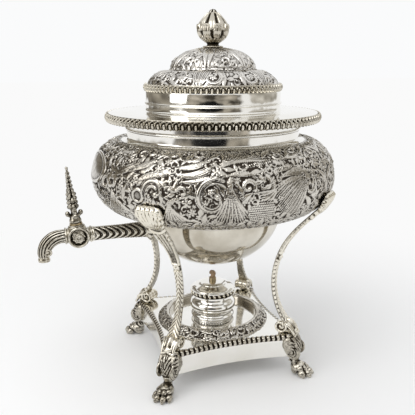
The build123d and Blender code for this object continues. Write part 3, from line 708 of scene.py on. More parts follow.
vessel = {
    "bowlCentre": 178.0, "bowlRadius": 75.0, "bowlDepth": 63.0, "bowlEnd": 172.0,
    "bellyFoot": 181.0, "bellyTop": 255.0, "bellyEdge": 98.0, "neck": 91.6, "rimSeat": 282.5, "wall": 1.2,
    "plate": 110.0, "plateThick": 2.2, "droop": 2.0, "border": 113.9, "borderTall": 8.6,
    "collar": 71.2, "collarFoot": 284.7, "lidSeat": 304.4,
    "turns": 256, "bowlTurns": 200, "flareRows": 30, "flareColumns": 720, "reach": 3.9, "tongues": 118,
}


def bulge(low, high, radius, swell, count=9):  # half an ellipse standing out from a wall, between two heights
    return ellipsePart((radius, (low + high) / 2), (swell, (high - low) / 2), -90, 90, count)


def makeBowl():
    # lower half of an ellipse, r = 75 cos a and z = 178 + 63 sin a, closed by an inner skin one wall further in
    v = vessel
    stop = math.degrees(math.asin((v["bowlEnd"] - v["bowlCentre"]) / v["bowlDepth"]))
    outer = ellipsePart((0, v["bowlCentre"]), (v["bowlRadius"], v["bowlDepth"]), -90, stop, 60)
    inner = ellipsePart(
        (0, v["bowlCentre"]), (v["bowlRadius"] - v["wall"], v["bowlDepth"] - v["wall"]), -90, stop, 40
    )
    shell = gridShell(turned(np.concatenate([outer, inner[::-1]]), v["bowlTurns"]), False, True)
    addPiece("bowl", [shell], "urn", bowlSilver, ["vessel_bowl"])


def makeShoulder():
    # the flare under the belly, worked with small leaves over its upper part
    v = vessel
    low = ellipsePart((0, v["bowlCentre"]), (v["bowlRadius"], v["bowlDepth"]), -8, -5.5, 3)
    rows, columns = v["flareRows"], v["flareColumns"]
    line = [low[-1], [76.0, 174.6], [79.0, 176.6], [84, 178.2], [90, 179.6], [v["bellyEdge"] + 0.2, v["bellyFoot"]]]
    outer = evenly(cutCorners(line, 3), rows)
    field = chasingField(2 * np.pi * 88, 26, columns, rows)
    fillBare(field, 11, 6.0, 5.0, 1.0, 2.0)
    run = np.linspace(0, 1, rows)[:, None]
    fade = np.clip((run - 0.2) * 4, 0, 1) * np.clip((1 - run) * 8, 0, 1)
    lift = (field["h"] - 0.45) * fade
    inner = outer - outward(outer) * 1.4
    shell = ringShell(outer, inner[::3], columns, lift, darkHollows(field["h"], 4, 1.0) * fade)
    addPiece("shoulder", [shell], "urn", chasedSilver, ["vessel_shoulder"], 60)


def makeNeck():  # a cove, a bead, a straight wall and a small flare under the rim, turned about the axis
    v = vessel
    r, low, high = v["neck"], v["bellyTop"], v["rimSeat"]
    outer = np.concatenate([
        [[v["bellyEdge"] + 0.6, low - 1.4]], ellipsePart((r + 6.2, low + 3.4), (-6.2, -3.9), 90, 0, 12),
        [[r, low + 9.6]],
        bulge(low + 9.8, low + 13.4, r, 1.7), [[r, low + 13.6], [r, high - 3]],
        ellipsePart((r + 2.4, high - 3), (-2.4, 3), 0, 88, 8),
    ])
    inner = [[r - v["wall"], high], [r - v["wall"], low - v["wall"]], [r + 3, low - v["wall"]]]
    shell = gridShell(turned(np.concatenate([outer, inner]), v["turns"]), True, True)
    addPiece("neck", [shell], "urn", polishedSilver, ["vessel_neck"])


def makeRim():  # a wide plate that droops to its edge, turned about the axis, with the leaf border under it
    v = vessel
    top, knee, edge = v["rimSeat"] + v["plateThick"], v["neck"] + 1.5, v["plate"]
    outer = cutCorners([[knee - 8, v["rimSeat"]], [knee, v["rimSeat"]], [edge, v["rimSeat"] - v["droop"]]], 3)
    upper = cutCorners([[edge, top - v["droop"]], [knee, top], [knee - 8, top]], 3)
    profile = np.concatenate(
        [[[v["collar"] - v["wall"], v["rimSeat"]]], outer, upper, [[v["collar"] - v["wall"], top]]]
    )
    shell = gridShell(turned(profile, v["turns"]), True, True)
    addPiece("rimPlate", [shell], "urn", polishedSilver, ["rim_plate"])
    top = v["rimSeat"] - v["droop"] + v["plateThick"]
    leafBorder(
        "rimBorder", v["border"], top - v["borderTall"], top, v["reach"], v["tongues"], "urn", "rim_border", 0.9
    )


def leafBorder(name, radius, low, high, reach, units, body, node, tarnishAndPaintedLight):
    # a border of narrow upright tongues, each under its own thin arch, with dark gaps between: the arch is a ridge
    # along run = 0.9 - 1.1 (a - 0.5)^2 and the tongue a ridge along a = 0.5, a being the place across the unit
    rows, turns = 28, units * 12
    run = np.linspace(0, 1, rows)[:, None]
    profile = ellipsePart((radius - reach, (low + high) / 2), (reach * 0.82, (high - low) / 2), -90, 90, rows)
    angle = (np.arange(turns)[None, :] * units / turns) % 1
    side = np.abs(angle - 0.5)
    tongue = np.clip(1 - (side / (0.27 - 0.12 * run)) ** 2, 0, 1) ** 0.5
    tongue = tongue * np.clip((0.62 - run) * 12, 0, 1) * np.clip((run - 0.03) * 20, 0, 1)
    arch = np.clip(1 - ((run - 0.84 + 1.5 * side ** 2) / 0.085) ** 2, 0, 1) ** 0.5
    dart = np.clip(1 - ((0.5 - side) / 0.09) ** 2, 0, 1) ** 0.5 * np.clip((0.42 - np.abs(run - 0.36)) * 8, 0, 1) * 0.7
    height = np.maximum(np.maximum(tongue, arch), dart)
    ends = np.clip(np.minimum(run, 1 - run) * 12, 0, 1)
    lift = (height - 0.62) * reach * 0.5 * ends
    # gap darkness: tarnish in the gaps, scaled by the last argument; the lid border's smaller amount (0.55 against
    # 0.9 on the rim) is painted light that lightens it against the shade falling on it
    hollow = np.clip(0.66 - height, 0, 1) * ends * tarnishAndPaintedLight
    inner = np.array([[radius - reach - 1.0, low + 0.6], [radius - reach - 1.0, high - 0.3]])
    shell = ringShell(profile, evenly(inner, 3), turns, lift, hollow)
    addPiece(name, [shell], body, agedSilver, [node], 60)


def makeCollar():  # a cove, a bead and a straight wall with a rounded top, turned about the axis
    v = vessel
    r, low, high = v["collar"], v["collarFoot"], v["lidSeat"]
    outer = np.concatenate([
        ellipsePart((r + 2.2, low + 3.4), (-2.2, -3.4), 90, 0, 9), [[r, low + 6]],
        bulge(low + 6.2, low + 9.0, r, 1.3), [[r, low + 9.2], [r, high - 1.2], [r - 0.4, high]],
    ])
    inner = [[r - v["wall"], high], [r - v["wall"], low]]
    shell = gridShell(turned(np.concatenate([outer, inner]), v["turns"]), True, True)
    addPiece("collar", [shell], "urn", polishedSilver, ["lid_collar"])


makeBowl()
makeShoulder()
makeNeck()
makeRim()
makeCollar()
print("vessel made")


# Lid: a chased dome, a chased crown and a bud

lid = {
    "seat": 304.4, "edge": 69.4, "domeTop": 325.0, "domeRadius": 47.7, "crown": 45.3, "crownTop": 347.33,
    "flat": 10.5,
    "domeRows": 60, "domeColumns": 720, "crownRows": 70, "crownColumns": 640, "skin": 1.4,
    "border": 73.2, "borderTall": 7.5, "reach": 3.6, "tongues": 86,
}
bud = {"rows": 104, "turns": 256, "tall": 38.8}


def chasedRing(name, profile, columns, work, node, depth, dark, seed):
    # a thin turned skin whose face is lifted by a chased field, less depth, laid round it at its widest radius
    rows = len(profile)
    run = np.concatenate([[0], np.cumsum(np.linalg.norm(np.diff(profile, axis=0), axis=1))])
    field = chasingField(2 * np.pi * profile[:, 0].max(), run[-1], columns, rows)
    work(field)
    dice = np.random.default_rng(seed)
    matting = averaged(dice.uniform(-0.12, 0.12, field["h"].shape), 1) * (field["h"] < 0.25)
    fade = edgeFade(rows, 2)
    lift = (field["h"] + matting - depth) * fade
    inner = profile - outward(profile) * lid["skin"]
    shell = ringShell(profile, inner[::4], columns, lift, darkHollows(field["h"], 4, dark) * fade)
    addPiece(name, [shell], "lid", lidSilver, [node], 60)


def workDome(field):
    # large C-scrolls, each with a spray of strands from its eye, long plumes along the rim and flowers between
    wide, tall = field["u"][-1], field["v"][-1]
    for k in range(6):
        u, lean = wide * (k + 0.5) / 6, (-1) ** k
        pressScroll(field, (u - 14 * lean, tall * 0.46), 10.5, 90 + 60 * lean, 270 * lean, 2.6, 1.5)
        pressScroll(field, (u + 10 * lean, tall * 0.30), 7.0, 270, -250 * lean, 2.0, 1.5)
        pressStrands(
            field, np.array([u, tall * 0.12]), [(u - 6, tall * 0.9), (u + 4, tall * 0.98), (u + 13, tall * 0.84)],
            (0.2, 0, -0.2), 1.3, 1.4
        )
        for start, middle, end in (
            ((-24, 0.12), (-30, 0.5), (-17, 0.86)), ((16, 0.55), (24, 0.95), (33, 0.62)),
            ((18, 0.2), (28, 0.1), (34, 0.42))
        ):
            place = [(u + a * lean, tall * b) for a, b in (start, middle, end)]
            pressPlume(field, *place, 4.2, 1.4)
        pressFlower(field, (u + 21 * lean, tall * 0.74), 5.0, 6, 1.4, 0.4)
        pressFlower(field, (u - 15 * lean, tall * 0.44), 4.2, 5, 1.3, 0.9)
    fillBare(field, 5, 7.0, 5.4, 0.9, 1.5)


def workCrown(field):
    # broad upright leaves of strands that turn over at the top, with scrolls, fans and flowers between, seven times
    wide, tall = field["u"][-1], field["v"][-1]
    for k in range(7):
        u = wide * (k + 0.5) / 7
        for lean in (-1, 1):
            place = [(u + lean * 1.5, tall * 0.06), (u + lean * 3.0, tall * 0.62), (u + lean * 12.5, tall * 0.72)]
            pressPlume(field, *place, 4.6, 1.5)
            pressScroll(field, (u + lean * wide / 14, tall * 0.22), 5.2, 90 - lean * 90, lean * 300, 1.8, 1.4)
        pressStrands(
            field, np.array([u, tall * 0.4]), [(u - 7, tall * 0.84), (u, tall * 0.92), (u + 7, tall * 0.84)],
            (0.1, 0, -0.1), 1.2, 1.3
        )
        pressFlower(field, (u + wide / 14, tall * 0.52), 5.6, 6, 1.4, 0.7)
        pressFlower(field, (u + wide / 14, tall * 0.80), 4.6, 5, 1.2, 0.2)
    fillBare(field, 9, 6.5, 5.0, 0.8, 1.5)


def makeLid():  # dome and crown are quarter ellipses turned about the axis, each with its own chasing
    q = lid
    across, tall = q["edge"] - q["domeRadius"], q["domeTop"] - q["seat"]
    arc = ellipsePart((q["domeRadius"], q["seat"]), (across, tall), 12, 90, 44)
    low = [[q["edge"] - 0.6, q["seat"]], [q["edge"] - 0.2, q["seat"] + 2]]
    profile = evenly(np.concatenate([low, arc, [[q["crown"] - 3.0, q["domeTop"] - 0.2]]]), q["domeRows"])
    chasedRing("dome", profile, q["domeColumns"], workDome, "lid_dome", depth=0.7, dark=0.8, seed=2)
    top = q["seat"] + q["borderTall"]
    # the lid border takes less tarnish than the rim border: painted light, lightening it against the shade that falls
    # on it
    leafBorder("lidBorder", q["border"], q["seat"], top, q["reach"], q["tongues"], "lid", "lid_border", 0.55)
    centre, across, tall = q["flat"] * 0.4, q["crown"] - q["flat"] * 0.4, q["crownTop"] + 0.27 - q["domeTop"]
    arc = ellipsePart((centre, q["domeTop"]), (across, tall), 3, 81.2, 60)
    step = [(q["crown"] + out, q["domeTop"] + up) for out, up in ((-0.6, 0), (0.9, 0.8), (-0.9, 2.4))]
    crownProfile = evenly(np.concatenate([cutCorners(step, 2), arc[3:], [[2.5, q["crownTop"]]]]), q["crownRows"])
    chasedRing("crown", crownProfile, q["crownColumns"], workCrown, "lid_crown", depth=0.6, dark=1.5, seed=4)
    makeBud(q["crownTop"])


def makeBud(seat):
    # a closed bud: ribbed lower petals, a ring of curled tips, folded upper petals and a small knop, in a leafy cup
    profile = evenly(cutCorners([
        [9.4, seat], [8.0, seat + 2.6], [7.0, seat + 4.6], [7.8, seat + 6.4], [11.6, seat + 9.0], [15.0, seat + 12.4],
        [16.2, seat + 16.6], [15.8, seat + 20.4], [14.4, seat + 24.6], [11.2, seat + 28.6], [8.0, seat + 32.0],
        [5.0, seat + 34.6], [3.9, seat + 36.4], [3.0, seat + 37.8], [0.4, seat + 38.4],
    ], 2), bud["rows"])
    turns = bud["turns"]
    angle = around(turns)[None, :]
    rise = (profile[:, 1:] - seat) / bud["tall"]
    lower = np.clip(np.abs(np.cos(4 * angle)) * 1.7 - 0.42, 0, 1) ** 0.7
    upper = np.clip(np.abs(np.sin(4 * angle)) * 1.7 - 0.42, 0, 1) ** 0.7
    ribs = 0.5 + 0.5 * np.cos(32 * angle)
    lowerTip, upperTip = 0.42 + 0.2 * lower, 0.72 + 0.2 * upper
    lowerRow = (
        np.clip((lowerTip - rise) * 22, 0, 1) * np.clip((rise - 0.18) * 12, 0, 1)
        * (0.08 + 0.68 * lower + 0.24 * ribs * lower)
    )
    upperRow = (
        np.clip((upperTip - rise) * 16, 0, 1) * np.clip((rise - 0.4) * 12, 0, 1)
        * (0.02 + 0.66 * upper + 0.16 * ribs * upper)
    )
    knop = 0.5 * np.abs(np.cos(3 * angle)) * np.clip((rise - 0.86) * 14, 0, 1)
    cup = np.clip((0.22 + 0.1 * np.abs(np.cos(5 * angle)) - rise) * 24, 0, 1) * np.clip((rise - 0.1) * 20, 0, 1)
    curl = (
        np.exp(-((rise - lowerTip + 0.03) / 0.026) ** 2) * 0.75 * lower
        + np.exp(-((rise - upperTip + 0.03) / 0.026) ** 2) * 0.45 * upper
    )
    height = np.max(np.broadcast_arrays(lowerRow, upperRow, knop, cup), axis=0) + curl
    lift = (height * 2.4 - 1.5) * np.clip(rise * 12, 0, 1) * np.clip((1 - rise) * 12, 0, 1)
    hollow = 0.7 * np.clip(0.74 - height, 0, 1)
    tip = turned(np.array([[0.0, seat + 38.5]]).repeat(2, 0), turns)[:1]
    shell = gridShell(
        np.concatenate([turned(profile, turns, lift), tip]), False, True,
        np.concatenate([hollow, np.zeros((1, turns))])
    )
    foot = turnedShell(bulge(seat, seat + 2.2, 8.6, 2.2, 9), 128, hollow=0.15)
    addPiece("finial", [shell, foot], "lid", agedSilver, ["finial_bud"], 60)


makeLid()
print("lid made")


# Tap: pipe, cock, spout and leafy key

tap = {
    "height": 158.8, "reach": 148.0, "lean": 6.0, "pipeStart": 69.0, "pipeEnd": 135.4, "rootRadius": 9.2,
    "pipeRadius": 7.5,
    "pipeRows": 230, "pipeColumns": 96, "cell": 0.37, "pipeBore": 4.0, "spoutBore": 3.6, "bend": 19.0,
    "spoutStart": 161.0, "fall": 4.6,
}


def alongTap(shell, start):  # a surface drawn about +Z from zero is laid along -Y at the tap's height
    return moveShell(shell, [[1, 0, 0], [0, 0, 1], [0, -1, 0]], [0, -start, tap["height"]])


def onCock(shell):  # a surface drawn about +Z is stood on the cock, leaning forwards
    c, s = math.cos(math.radians(tap["lean"])), math.sin(math.radians(tap["lean"]))
    return moveShell(shell, [[1, 0, 0], [0, c, s], [0, -s, c]], [0, -tap["reach"], tap["height"]])


def makeTapPipe():
    # long crescents that roll towards the spout on both flanks: each a round ridge, then a fine one, over
    # phase = (s / 6.6 + 1.5 cos^2 a) mod 1
    q = tap
    long = q["pipeEnd"] - q["pipeStart"]
    rows, columns = q["pipeRows"], q["pipeColumns"]
    run = np.linspace(0, long, rows)
    radius = np.interp(run, [0, 2.4, 34, long], [q["rootRadius"], q["rootRadius"], q["pipeRadius"], q["pipeRadius"]])
    outer = np.stack([radius, run], -1)
    inner = np.stack([np.full(4, q["pipeBore"]), np.linspace(0, long, 4)], -1)
    angle = around(columns)[None, :]
    bend = np.cos(angle) ** 2
    phase = (run[:, None] / 6.6 + 1.5 * bend) % 1
    height = np.clip(1 - ((phase - 0.42) / 0.30) ** 2, 0, 1) ** 0.5 * (0.5 + 0.5 * bend ** 0.5)
    height = np.maximum(height, 0.55 * np.clip(1 - ((phase - 0.87) / 0.08) ** 2, 0, 1))
    spine = np.exp(-(np.sin(angle) ** 2 - 1) ** 2 * 60) * 0.9
    height = np.maximum(height, spine * (0.8 + 0.2 * np.sin(run[:, None] * 2.2)))
    collar = np.exp(-((run[:, None] - long + 3) / 1.1) ** 2) + np.exp(-((run[:, None] - 7) / 1.4) ** 2)
    ends = np.clip(np.minimum(run, long - run) / 1.2, 0, 1)[:, None]
    height = height * (1 - np.clip(collar, 0, 1)) + 1.1 * np.clip(collar, 0, 1)
    lift = (height * 1.25 - 0.95) * ends
    pipe = ringShell(outer, inner, columns, lift, np.clip(0.62 - height * 0.7, 0, 1) * ends)
    petals, out = around(160)[None, :], np.linspace(0, 1, 16)[:, None]
    plate = np.stack([12.6 - 3.6 * out[:, 0] ** 1.4, 3.2 + 3.4 * out[:, 0]], -1)
    plate = np.concatenate([[[12.4, 1.8]], plate, [[8.4, 7.0]]])
    lobe = np.abs(np.cos(5 * petals))
    fall = np.concatenate([[0.4], np.linspace(1, 0, 16), [0]])[:, None]
    rosette = turnedShell(plate, 160, (lobe - 0.9) * 1.4 * fall, 0.4 * (1 - lobe))
    addPiece(
        "tapPipe", [alongTap(pipe, q["pipeStart"]), alongTap(rosette, q["pipeStart"])], "urn", agedSilver,
        ["tap_pipe"], 60
    )


def faceX(shell, side):  # a surface drawn about +Z is turned to point along X, to one side
    return moveShell(shell, [[0, 1, 0], [0, 0, 1], [side, 0, 0]], [0, 0, 0])


def makeBarrel():
    # turned barrel, bored for the plug, with a ringed boss and a hollow hub on each side
    outer = cutCorners([
        [7.0, -9.4], [8.2, -9.0], [9.0, -7.0], [10.3, -5.0], [10.4, 0], [10.4, 4.5], [9.4, 7.6], [8.4, 8.6],
        [8.9, 9.4], [8.6, 10.4], [7.4, 11.0], [7.3, 11.9],
    ], 2)
    inner = np.array([[5.65, 11.9], [4.36, -9.4]])
    barrel = gridShell(turned(np.concatenate([outer, inner]), 128), True, True)
    shells = [barrel]
    for side in (-1, 1):
        line = cutCorners([
            [0.01, 5.0], [10.2, 5.0], [11.3, 8.4], [11.3, 10.2], [10.4, 11.6], [9.3, 11.8], [8.5, 10.6], [7.9, 8.6],
            [7.0, 7.8], [4.6, 8.2], [4.3, 10.6], [3.8, 11.9], [2.6, 12.2], [2.0, 11.4], [1.9, 7.4], [0.01, 7.4],
        ], 2)
        depth = np.clip((10.4 - line[:, 1]) / 1.2, 0, 1) * (line[:, 0] < 9.0) * (line[:, 1] > 6.5)
        shells.append(faceX(turnedShell(line, 96, hollow=depth[:, None]), side))
        for k in range(9):
            angle = 2 * math.pi * k / 9
            shells.append(ball((side * 8.9, 6.1 * math.cos(angle), 6.1 * math.sin(angle)), (1.6, 1.15, 1.15), 8, 10))
    shells = [onCock((p, t, np.maximum(h, 0.16))) for p, t, h in shells]
    for side, start in ((1, 133.4), (-1, 161.6)):
        sleeve = np.concatenate(
            [bulge(0, 2.6, 7.2, 1.6), bulge(2.6, 4.4, 7.0, 0.9), [[7.0, 7.5], [4.0, 7.5], [4.0, 0.0]]]
        )
        piece = gridShell(turned(sleeve, 96), True, True, 0.15)
        piece = moveShell(piece, [[1, 0, 0], [0, 1, 0], [0, 0, side]], [0, 0, 0])
        shells.append(alongTap(piece if side == 1 else (piece[0], piece[1][:, ::-1], piece[2]), start))
    addPiece("tapBarrel", shells, "urn", agedSilver, ["tap_barrel"], 40)


def makeSpout():
    # a quarter bend with swept flutes, a scroll eye on each flank and a notched lip round the bore
    bend, start, fall = tap["bend"], tap["spoutStart"], tap["fall"]
    turn = np.radians(np.linspace(0, 90, 60))
    straight = np.stack([np.zeros(10), -np.linspace(start, 164.2, 10), np.full(10, tap["height"])], -1)
    arc = np.stack([0 * turn, -164.5 - bend * np.sin(turn), tap["height"] - bend * (1 - np.cos(turn))], -1)
    low = tap["height"] - bend
    down = np.stack([np.zeros(12), np.full(12, -183.5), np.linspace(low - 0.4, low - fall - 1.6, 12)], -1)
    path = np.concatenate([straight, arc, down])
    rows, columns = len(path), 120
    run = np.linspace(0, 1, rows)[:, None]
    angle = around(columns)[None, :]
    flute = np.abs(np.sin(7 * angle + 4.4 * run)) ** 0.7
    swell = np.interp(run[:, 0], [0, 0.12, 0.35, 0.6, 0.82, 0.9, 0.95, 1], [7.2, 6.7, 7.1, 6.9, 6.0, 5.5, 6.3, 6.0])
    lift = (flute * 1.1 - 0.7) * np.clip(np.minimum(run * 12, (0.88 - run) * 12), 0, 1)
    notch = -0.6 * (np.abs(np.sin(4 * angle)) < 0.35) * (run > 0.9)
    hollow = np.clip(1.0 - flute, 0, 1) * (run < 0.88)
    outer = tubeRings(path, swell, columns, lift + notch)
    inner = tubeRings(path, np.full(rows, tap["spoutBore"]), columns, 0.0)[::-1]
    shell = gridShell(np.concatenate([outer, inner]), True, True, np.concatenate([hollow, np.zeros(hollow.shape)]))
    shells = [shell]
    for side in (-1, 1):
        arm = scroll((0, 0), 3.9, 200, 430, 0.86, 70)
        wide = np.interp(np.linspace(0, 1, 70), [0, 0.3, 1], [0.5, 1.1, 0.8])
        eye = np.stack([np.full(70, side * 6.3), -179.4 + arm[:, 0], 144.6 + arm[:, 1]], -1)
        shells.append(tubeShell(eye, wide, 12, [1, 0, 0]))
        shells.append(ball((side * 6.4, -179.4, 144.6), (1.3, 1.3, 1.3), 10, 12))
    addPiece("tapSpout", shells, "urn", agedSilver, ["tap_spout"], 50)


def tubeRings(path, radius, columns, lift):  # rings of points across a path that stays in the YZ plane
    along = direction(path)
    side = np.broadcast_to(np.array([1.0, 0, 0]), along.shape)
    up = np.cross(along, side)
    size = np.asarray(radius, float)[:, None] + lift
    return ringsAcross(path, side, up, size, columns)


def makeKey():
    # the leafy key: a socket, a scroll loop on each side, and a spire of paired leaves up to a knop
    shells = [
        turnedShell(
            cutCorners([[0.01, 13.6], [5.6, 13.7], [6.4, 15], [6.2, 17.5], [4.8, 19.4], [3.8, 22], [0.01, 23]], 2), 64
        )
    ]
    stem = np.stack([np.zeros(50), np.zeros(50), np.linspace(18, 71.5, 50)], -1)
    shells.append(
        tubeShell(stem, np.interp(np.linspace(0, 1, 50), [0, 0.3, 0.7, 1], [3.4, 3.0, 2.4, 1.0]), 20, [1, 0, 0])
    )
    for side in (-1, 1):
        turn = np.radians(np.linspace(0, 360, 60))
        loop = np.stack([side * 8.65 + 7.2 * np.cos(turn), 0 * turn, 27.6 + 7.2 * np.sin(turn)], -1)
        shells.append(tubeShell(loop, 2.1 + 0.3 * np.sin(6 * turn), 16, [0, 1, 0]))
        shells.append(ball((side * 16.2, 0, 24.4), (3.0, 3.2, 3.0)))
        shells.append(ball((side * 15.8, 0, 31.6), (1.9, 2.4, 1.9)))
        shells.append(ball((side * 8.6, 0, 36.6), (2.4, 3.0, 2.4)))
        inner = scroll((side * 6.2, 37.5), 5.0, 90 - side * 90, side * 260, 0.6, 40)
        shells.append(tubeShell(np.stack([inner[:, 0], 0 * inner[:, 0], inner[:, 1]], -1), 1.6, 12, [0, 1, 0]))
        for k in range(8):
            high = 31.5 + 4.6 * k
            size = np.interp(high, [30, 44, 48, 60, 70], [1.2, 1.08, 0.74, 0.58, 0.4])
            arm = np.linspace(0, 1, 14)
            out = side * (1.4 + 7.4 * size * np.sin(arm * 1.9))
            for front in (-1, 1):
                leaf = np.stack(
                    [out, front * size * (1.4 + 1.0 * np.sin(3 * arm)), high - 2.5 + 6.6 * size * arm], -1
                )
                shells.append(
                    tubeShell(leaf, (1.8 * np.sin(np.pi * (0.12 + 0.8 * arm)) ** 0.7) * size, 12, [0, 1, 0])
                )
                shells.append(ball(leaf[-1], (1.15 * size, 1.25 * size, 1.15 * size), 8, 10))
    for k in range(9):
        high = 31.0 + 4.4 * k
        size = np.interp(high, [30, 44, 48, 60, 70], [1.25, 1.1, 0.78, 0.6, 0.42])
        for front in (-1, 1):
            shells.append(ball((0, front * 3.1 * size, high), (1.9 * size, 1.9 * size, 1.9 * size), 10, 12))
    for front in (-1, 1):
        knob = curve((0, 0, 20.6), (0, front * 3.5, 20.0), (0, front * 6.2, 23.4), 16)
        shells.append(tubeShell(knob, np.linspace(2.6, 1.8, 16), 14, [1, 0, 0]))
        shells.append(ball((0, front * 6.6, 24.0), (2.7, 2.6, 2.9)))
    shells.append(ball((0, 0, 71.4), (1.6, 1.6, 1.6)))
    points, triangles, hollow = smoothBlob("key", shells, tap["cell"], 3)
    addPiece(
        "tapKey", [onCock((points, triangles, np.clip(hollow * 1.6 + 0.2, 0, 1)))], "tap_key", agedSilver,
        ["tap_handle"], 70
    )


makeTapPipe()
makeBarrel()
makeSpout()
makeKey()
print("tap made")


# Straps: bars that follow the belly, sweep in to a waist and curl into volutes on the plinth

strap = {
    "eye": 86.3, "eyeHeight": 55.0, "flank": 7.6, "thick": 3.4, "standOff": 2.4, "belly": (98.0, 218.0, 32.0, 37.0),
    "rows": 360, "columns": 43, "cell": 0.48,
}


def strapLine(count):
    # the belly's ellipse grown by the stand-off, from -15 to -50 degrees, then a curve in to the waist and out to
    # the volute
    cx, cz, rx, rz = strap["belly"]
    head = ellipsePart((cx, cz), (rx + strap["standOff"], rz + strap["standOff"]), -15, -50, 20)
    body = cutCorners([
        head[-1], [108.6, 176.2], [96.9, 163.5], [86.4, 149.0], [79.0, 132.5], [74.9, 116.0], [74.1, 100.0],
        [76.2, 86.0], [81.0, 73.0], [87.4, 62.6], [90.6, 59.4],
    ], 3)
    return evenly(np.concatenate([head, body[1:]]), count)


def strapHalfWidth(run):  # wide at the shell head, narrowest below the waist, wider again at the volute
    return np.interp(run, [0, 0.012, 0.03, 0.06, 0.10, 0.14, 0.18, 0.28, 0.36, 0.45, 0.55, 0.7, 0.85, 1.0],
                     [9.0, 12.4, 14.4, 14.8, 12.6, 10.2, 8.6, 7.0, 6.0, 4.9, 4.2, 3.8, 3.9, 6.0])


def strapRelief(run, across):
    # worked face over (run 0..1 from head to foot, across -1..1): shell head, waisted ribs, bead, herringbone leaf
    side = np.abs(across)
    reach = np.arctan2(across * strapHalfWidth(run), (0.25 - run) * 170)
    fan = np.clip((0.19 - run) * 14, 0, 1) * (0.1 + 1.9 * np.abs(np.cos(reach * 27)) ** 0.8)
    lip = np.exp(-((run - 0.022) / 0.010) ** 2) * (1.6 + 0.5 * np.cos(reach * 54))
    cap = np.exp(-((run - 0.205 + 0.03 * side ** 2) / 0.013) ** 2) * 1.5
    edge = np.clip(1 - ((side - 0.84) / 0.17) ** 2, 0, 1) ** 0.5 * (run > 0.2) * (run < 0.52)
    ribs = np.clip(1 - ((side - 0.28) / 0.2) ** 2, 0, 1) ** 0.5 * 0.7 * np.clip((0.44 - run) * 9, 0, 1) * (run > 0.21)
    spine = np.exp(-(side / 0.16) ** 2) * (run > 0.56) * 0.9
    herring = (run > 0.56) * np.abs(np.sin(np.pi * (run * 34 - side * 1.6))) ** 0.6 * (1.15 - 0.3 * side)
    bead = np.exp(-(((run - 0.54) / 0.018) ** 2 + (side / 0.72) ** 2)) * 2.2
    band = (np.exp(-((run - 0.512) / 0.007) ** 2) + np.exp(-((run - 0.568) / 0.007) ** 2)) * 1.3
    parts = [fan, lip, cap, edge, ribs, spine, herring, bead, band]
    return np.max(np.broadcast_arrays(*parts), axis=0)


def strapBar():
    # closed bar: a worked front, plain back and rounded sides; lift runs outward from the middle line
    rows, columns = strap["rows"], strap["columns"]
    line = strapLine(rows)
    run = np.linspace(0, 1, rows)
    normal = -outward(line)
    half = strapHalfWidth(run)
    across = np.linspace(-1, 1, columns)[None, :]
    relief = strapRelief(run[:, None], across)
    crown = 0.9 * (1 - across ** 2) ** 0.5
    front = strap["thick"] / 2 - 0.5 + crown + relief * 1.1 * np.clip((1 - np.abs(across)) * 12, 0, 1)
    taper = np.clip(np.minimum(run * 60, 1), 0.4, 1)[:, None]
    front *= taper
    back = np.broadcast_to(-strap["thick"] / 2 * taper * np.clip((1 - np.abs(across)) * 10, 0.45, 1), front.shape)
    lobes = 1 + 0.05 * np.sin(run * 140)[:, None] * (run[:, None] < 0.34)
    points, dark = [], []
    waist = (run[:, None] > 0.2) & (run[:, None] < 0.52)
    worn = np.clip(0.62 - relief * 0.8, 0, 1) * np.where(waist, 0.6, 1.1)
    for depth, tone in ((front, worn), (back[:, ::-1], 0.25 + 0 * relief)):
        acrossNow = across if depth is front else across[:, ::-1]
        s = line[:, :1] + normal[:, :1] * depth
        z = line[:, 1:] + normal[:, 1:] * depth
        points.append(np.stack([s, half[:, None] * lobes * acrossNow + 0 * s, z], -1))
        dark.append(tone * np.ones(depth.shape))
    ring, tone = np.concatenate(points, 1), np.concatenate(dark, 1)
    return cappedShell(ring, tone)


def strapBase():
    # volute scrolls on both flanks, a barrel between them, and acanthus falling over the plinth's corner
    eye, tall, flank = strap["eye"], strap["eyeHeight"], strap["flank"]
    core = [
        [0.01, -flank], [5.4, -flank], [6.0, -6], [5.6, -3], [5.9, 0], [5.6, 3], [6.0, 6], [5.4, flank],
        [0.01, flank],
    ]
    shells = [moveShell(turnedShell(core, 48), [[1, 0, 0], [0, 0, 1], [0, -1, 0]], [eye, 0, tall])]
    for side in (-1, 1):
        arm = scroll((eye, tall), 6.3, 45, -560, 0.84, 100)
        wide = np.interp(np.linspace(0, 1, 100), [0, 0.15, 1], [1.5, 1.55, 0.8])
        shells.append(
            tubeShell(np.stack([arm[:, 0], np.full(100, side * flank), arm[:, 1]], -1), wide, 12, [0, 1, 0])
        )
        shells.append(ball((eye, side * 8.0, tall), (1.6, 1.6, 1.6)))
        for k in range(3):
            arm = np.linspace(0, 1, 20)
            leaf = np.stack([eye + 3 + 13.6 * arm, side * (2.2 + 2.6 * k) * (1 - 0.15 * arm) + 0 * arm,
                             tall + 4.5 - 0.8 * k - 12.2 * arm ** 1.5 + 2.5 * np.sin(np.pi * arm)], -1)
            shells.append(tubeShell(leaf, 1.9 * np.sin(np.pi * (0.14 + 0.8 * arm)) ** 0.5, 12, [0, 1, 0]))
            shells.append(ball(leaf[-1] + [-0.4, 0, 0.9], (1.7, 1.5, 1.5), 10, 12))
    arm = np.linspace(0, 1, 24)
    spine = np.stack([eye + 2 + 15.6 * arm, 0 * arm, tall + 6.2 - 12.6 * arm ** 1.5 + 2.6 * np.sin(np.pi * arm)], -1)
    shells.append(tubeShell(spine, 2.2 * np.sin(np.pi * (0.16 + 0.78 * arm)) ** 0.5, 14, [0, 1, 0]))
    shells.append(ball((eye + 11.5, 0, 50.6), (7.0, 6.4, 3.8)))
    shells.append(ball((eye + 3.0, 0, 50.4), (8.0, 6.8, 3.6)))
    return smoothBlob("strapBase", shells, strap["cell"], 3)


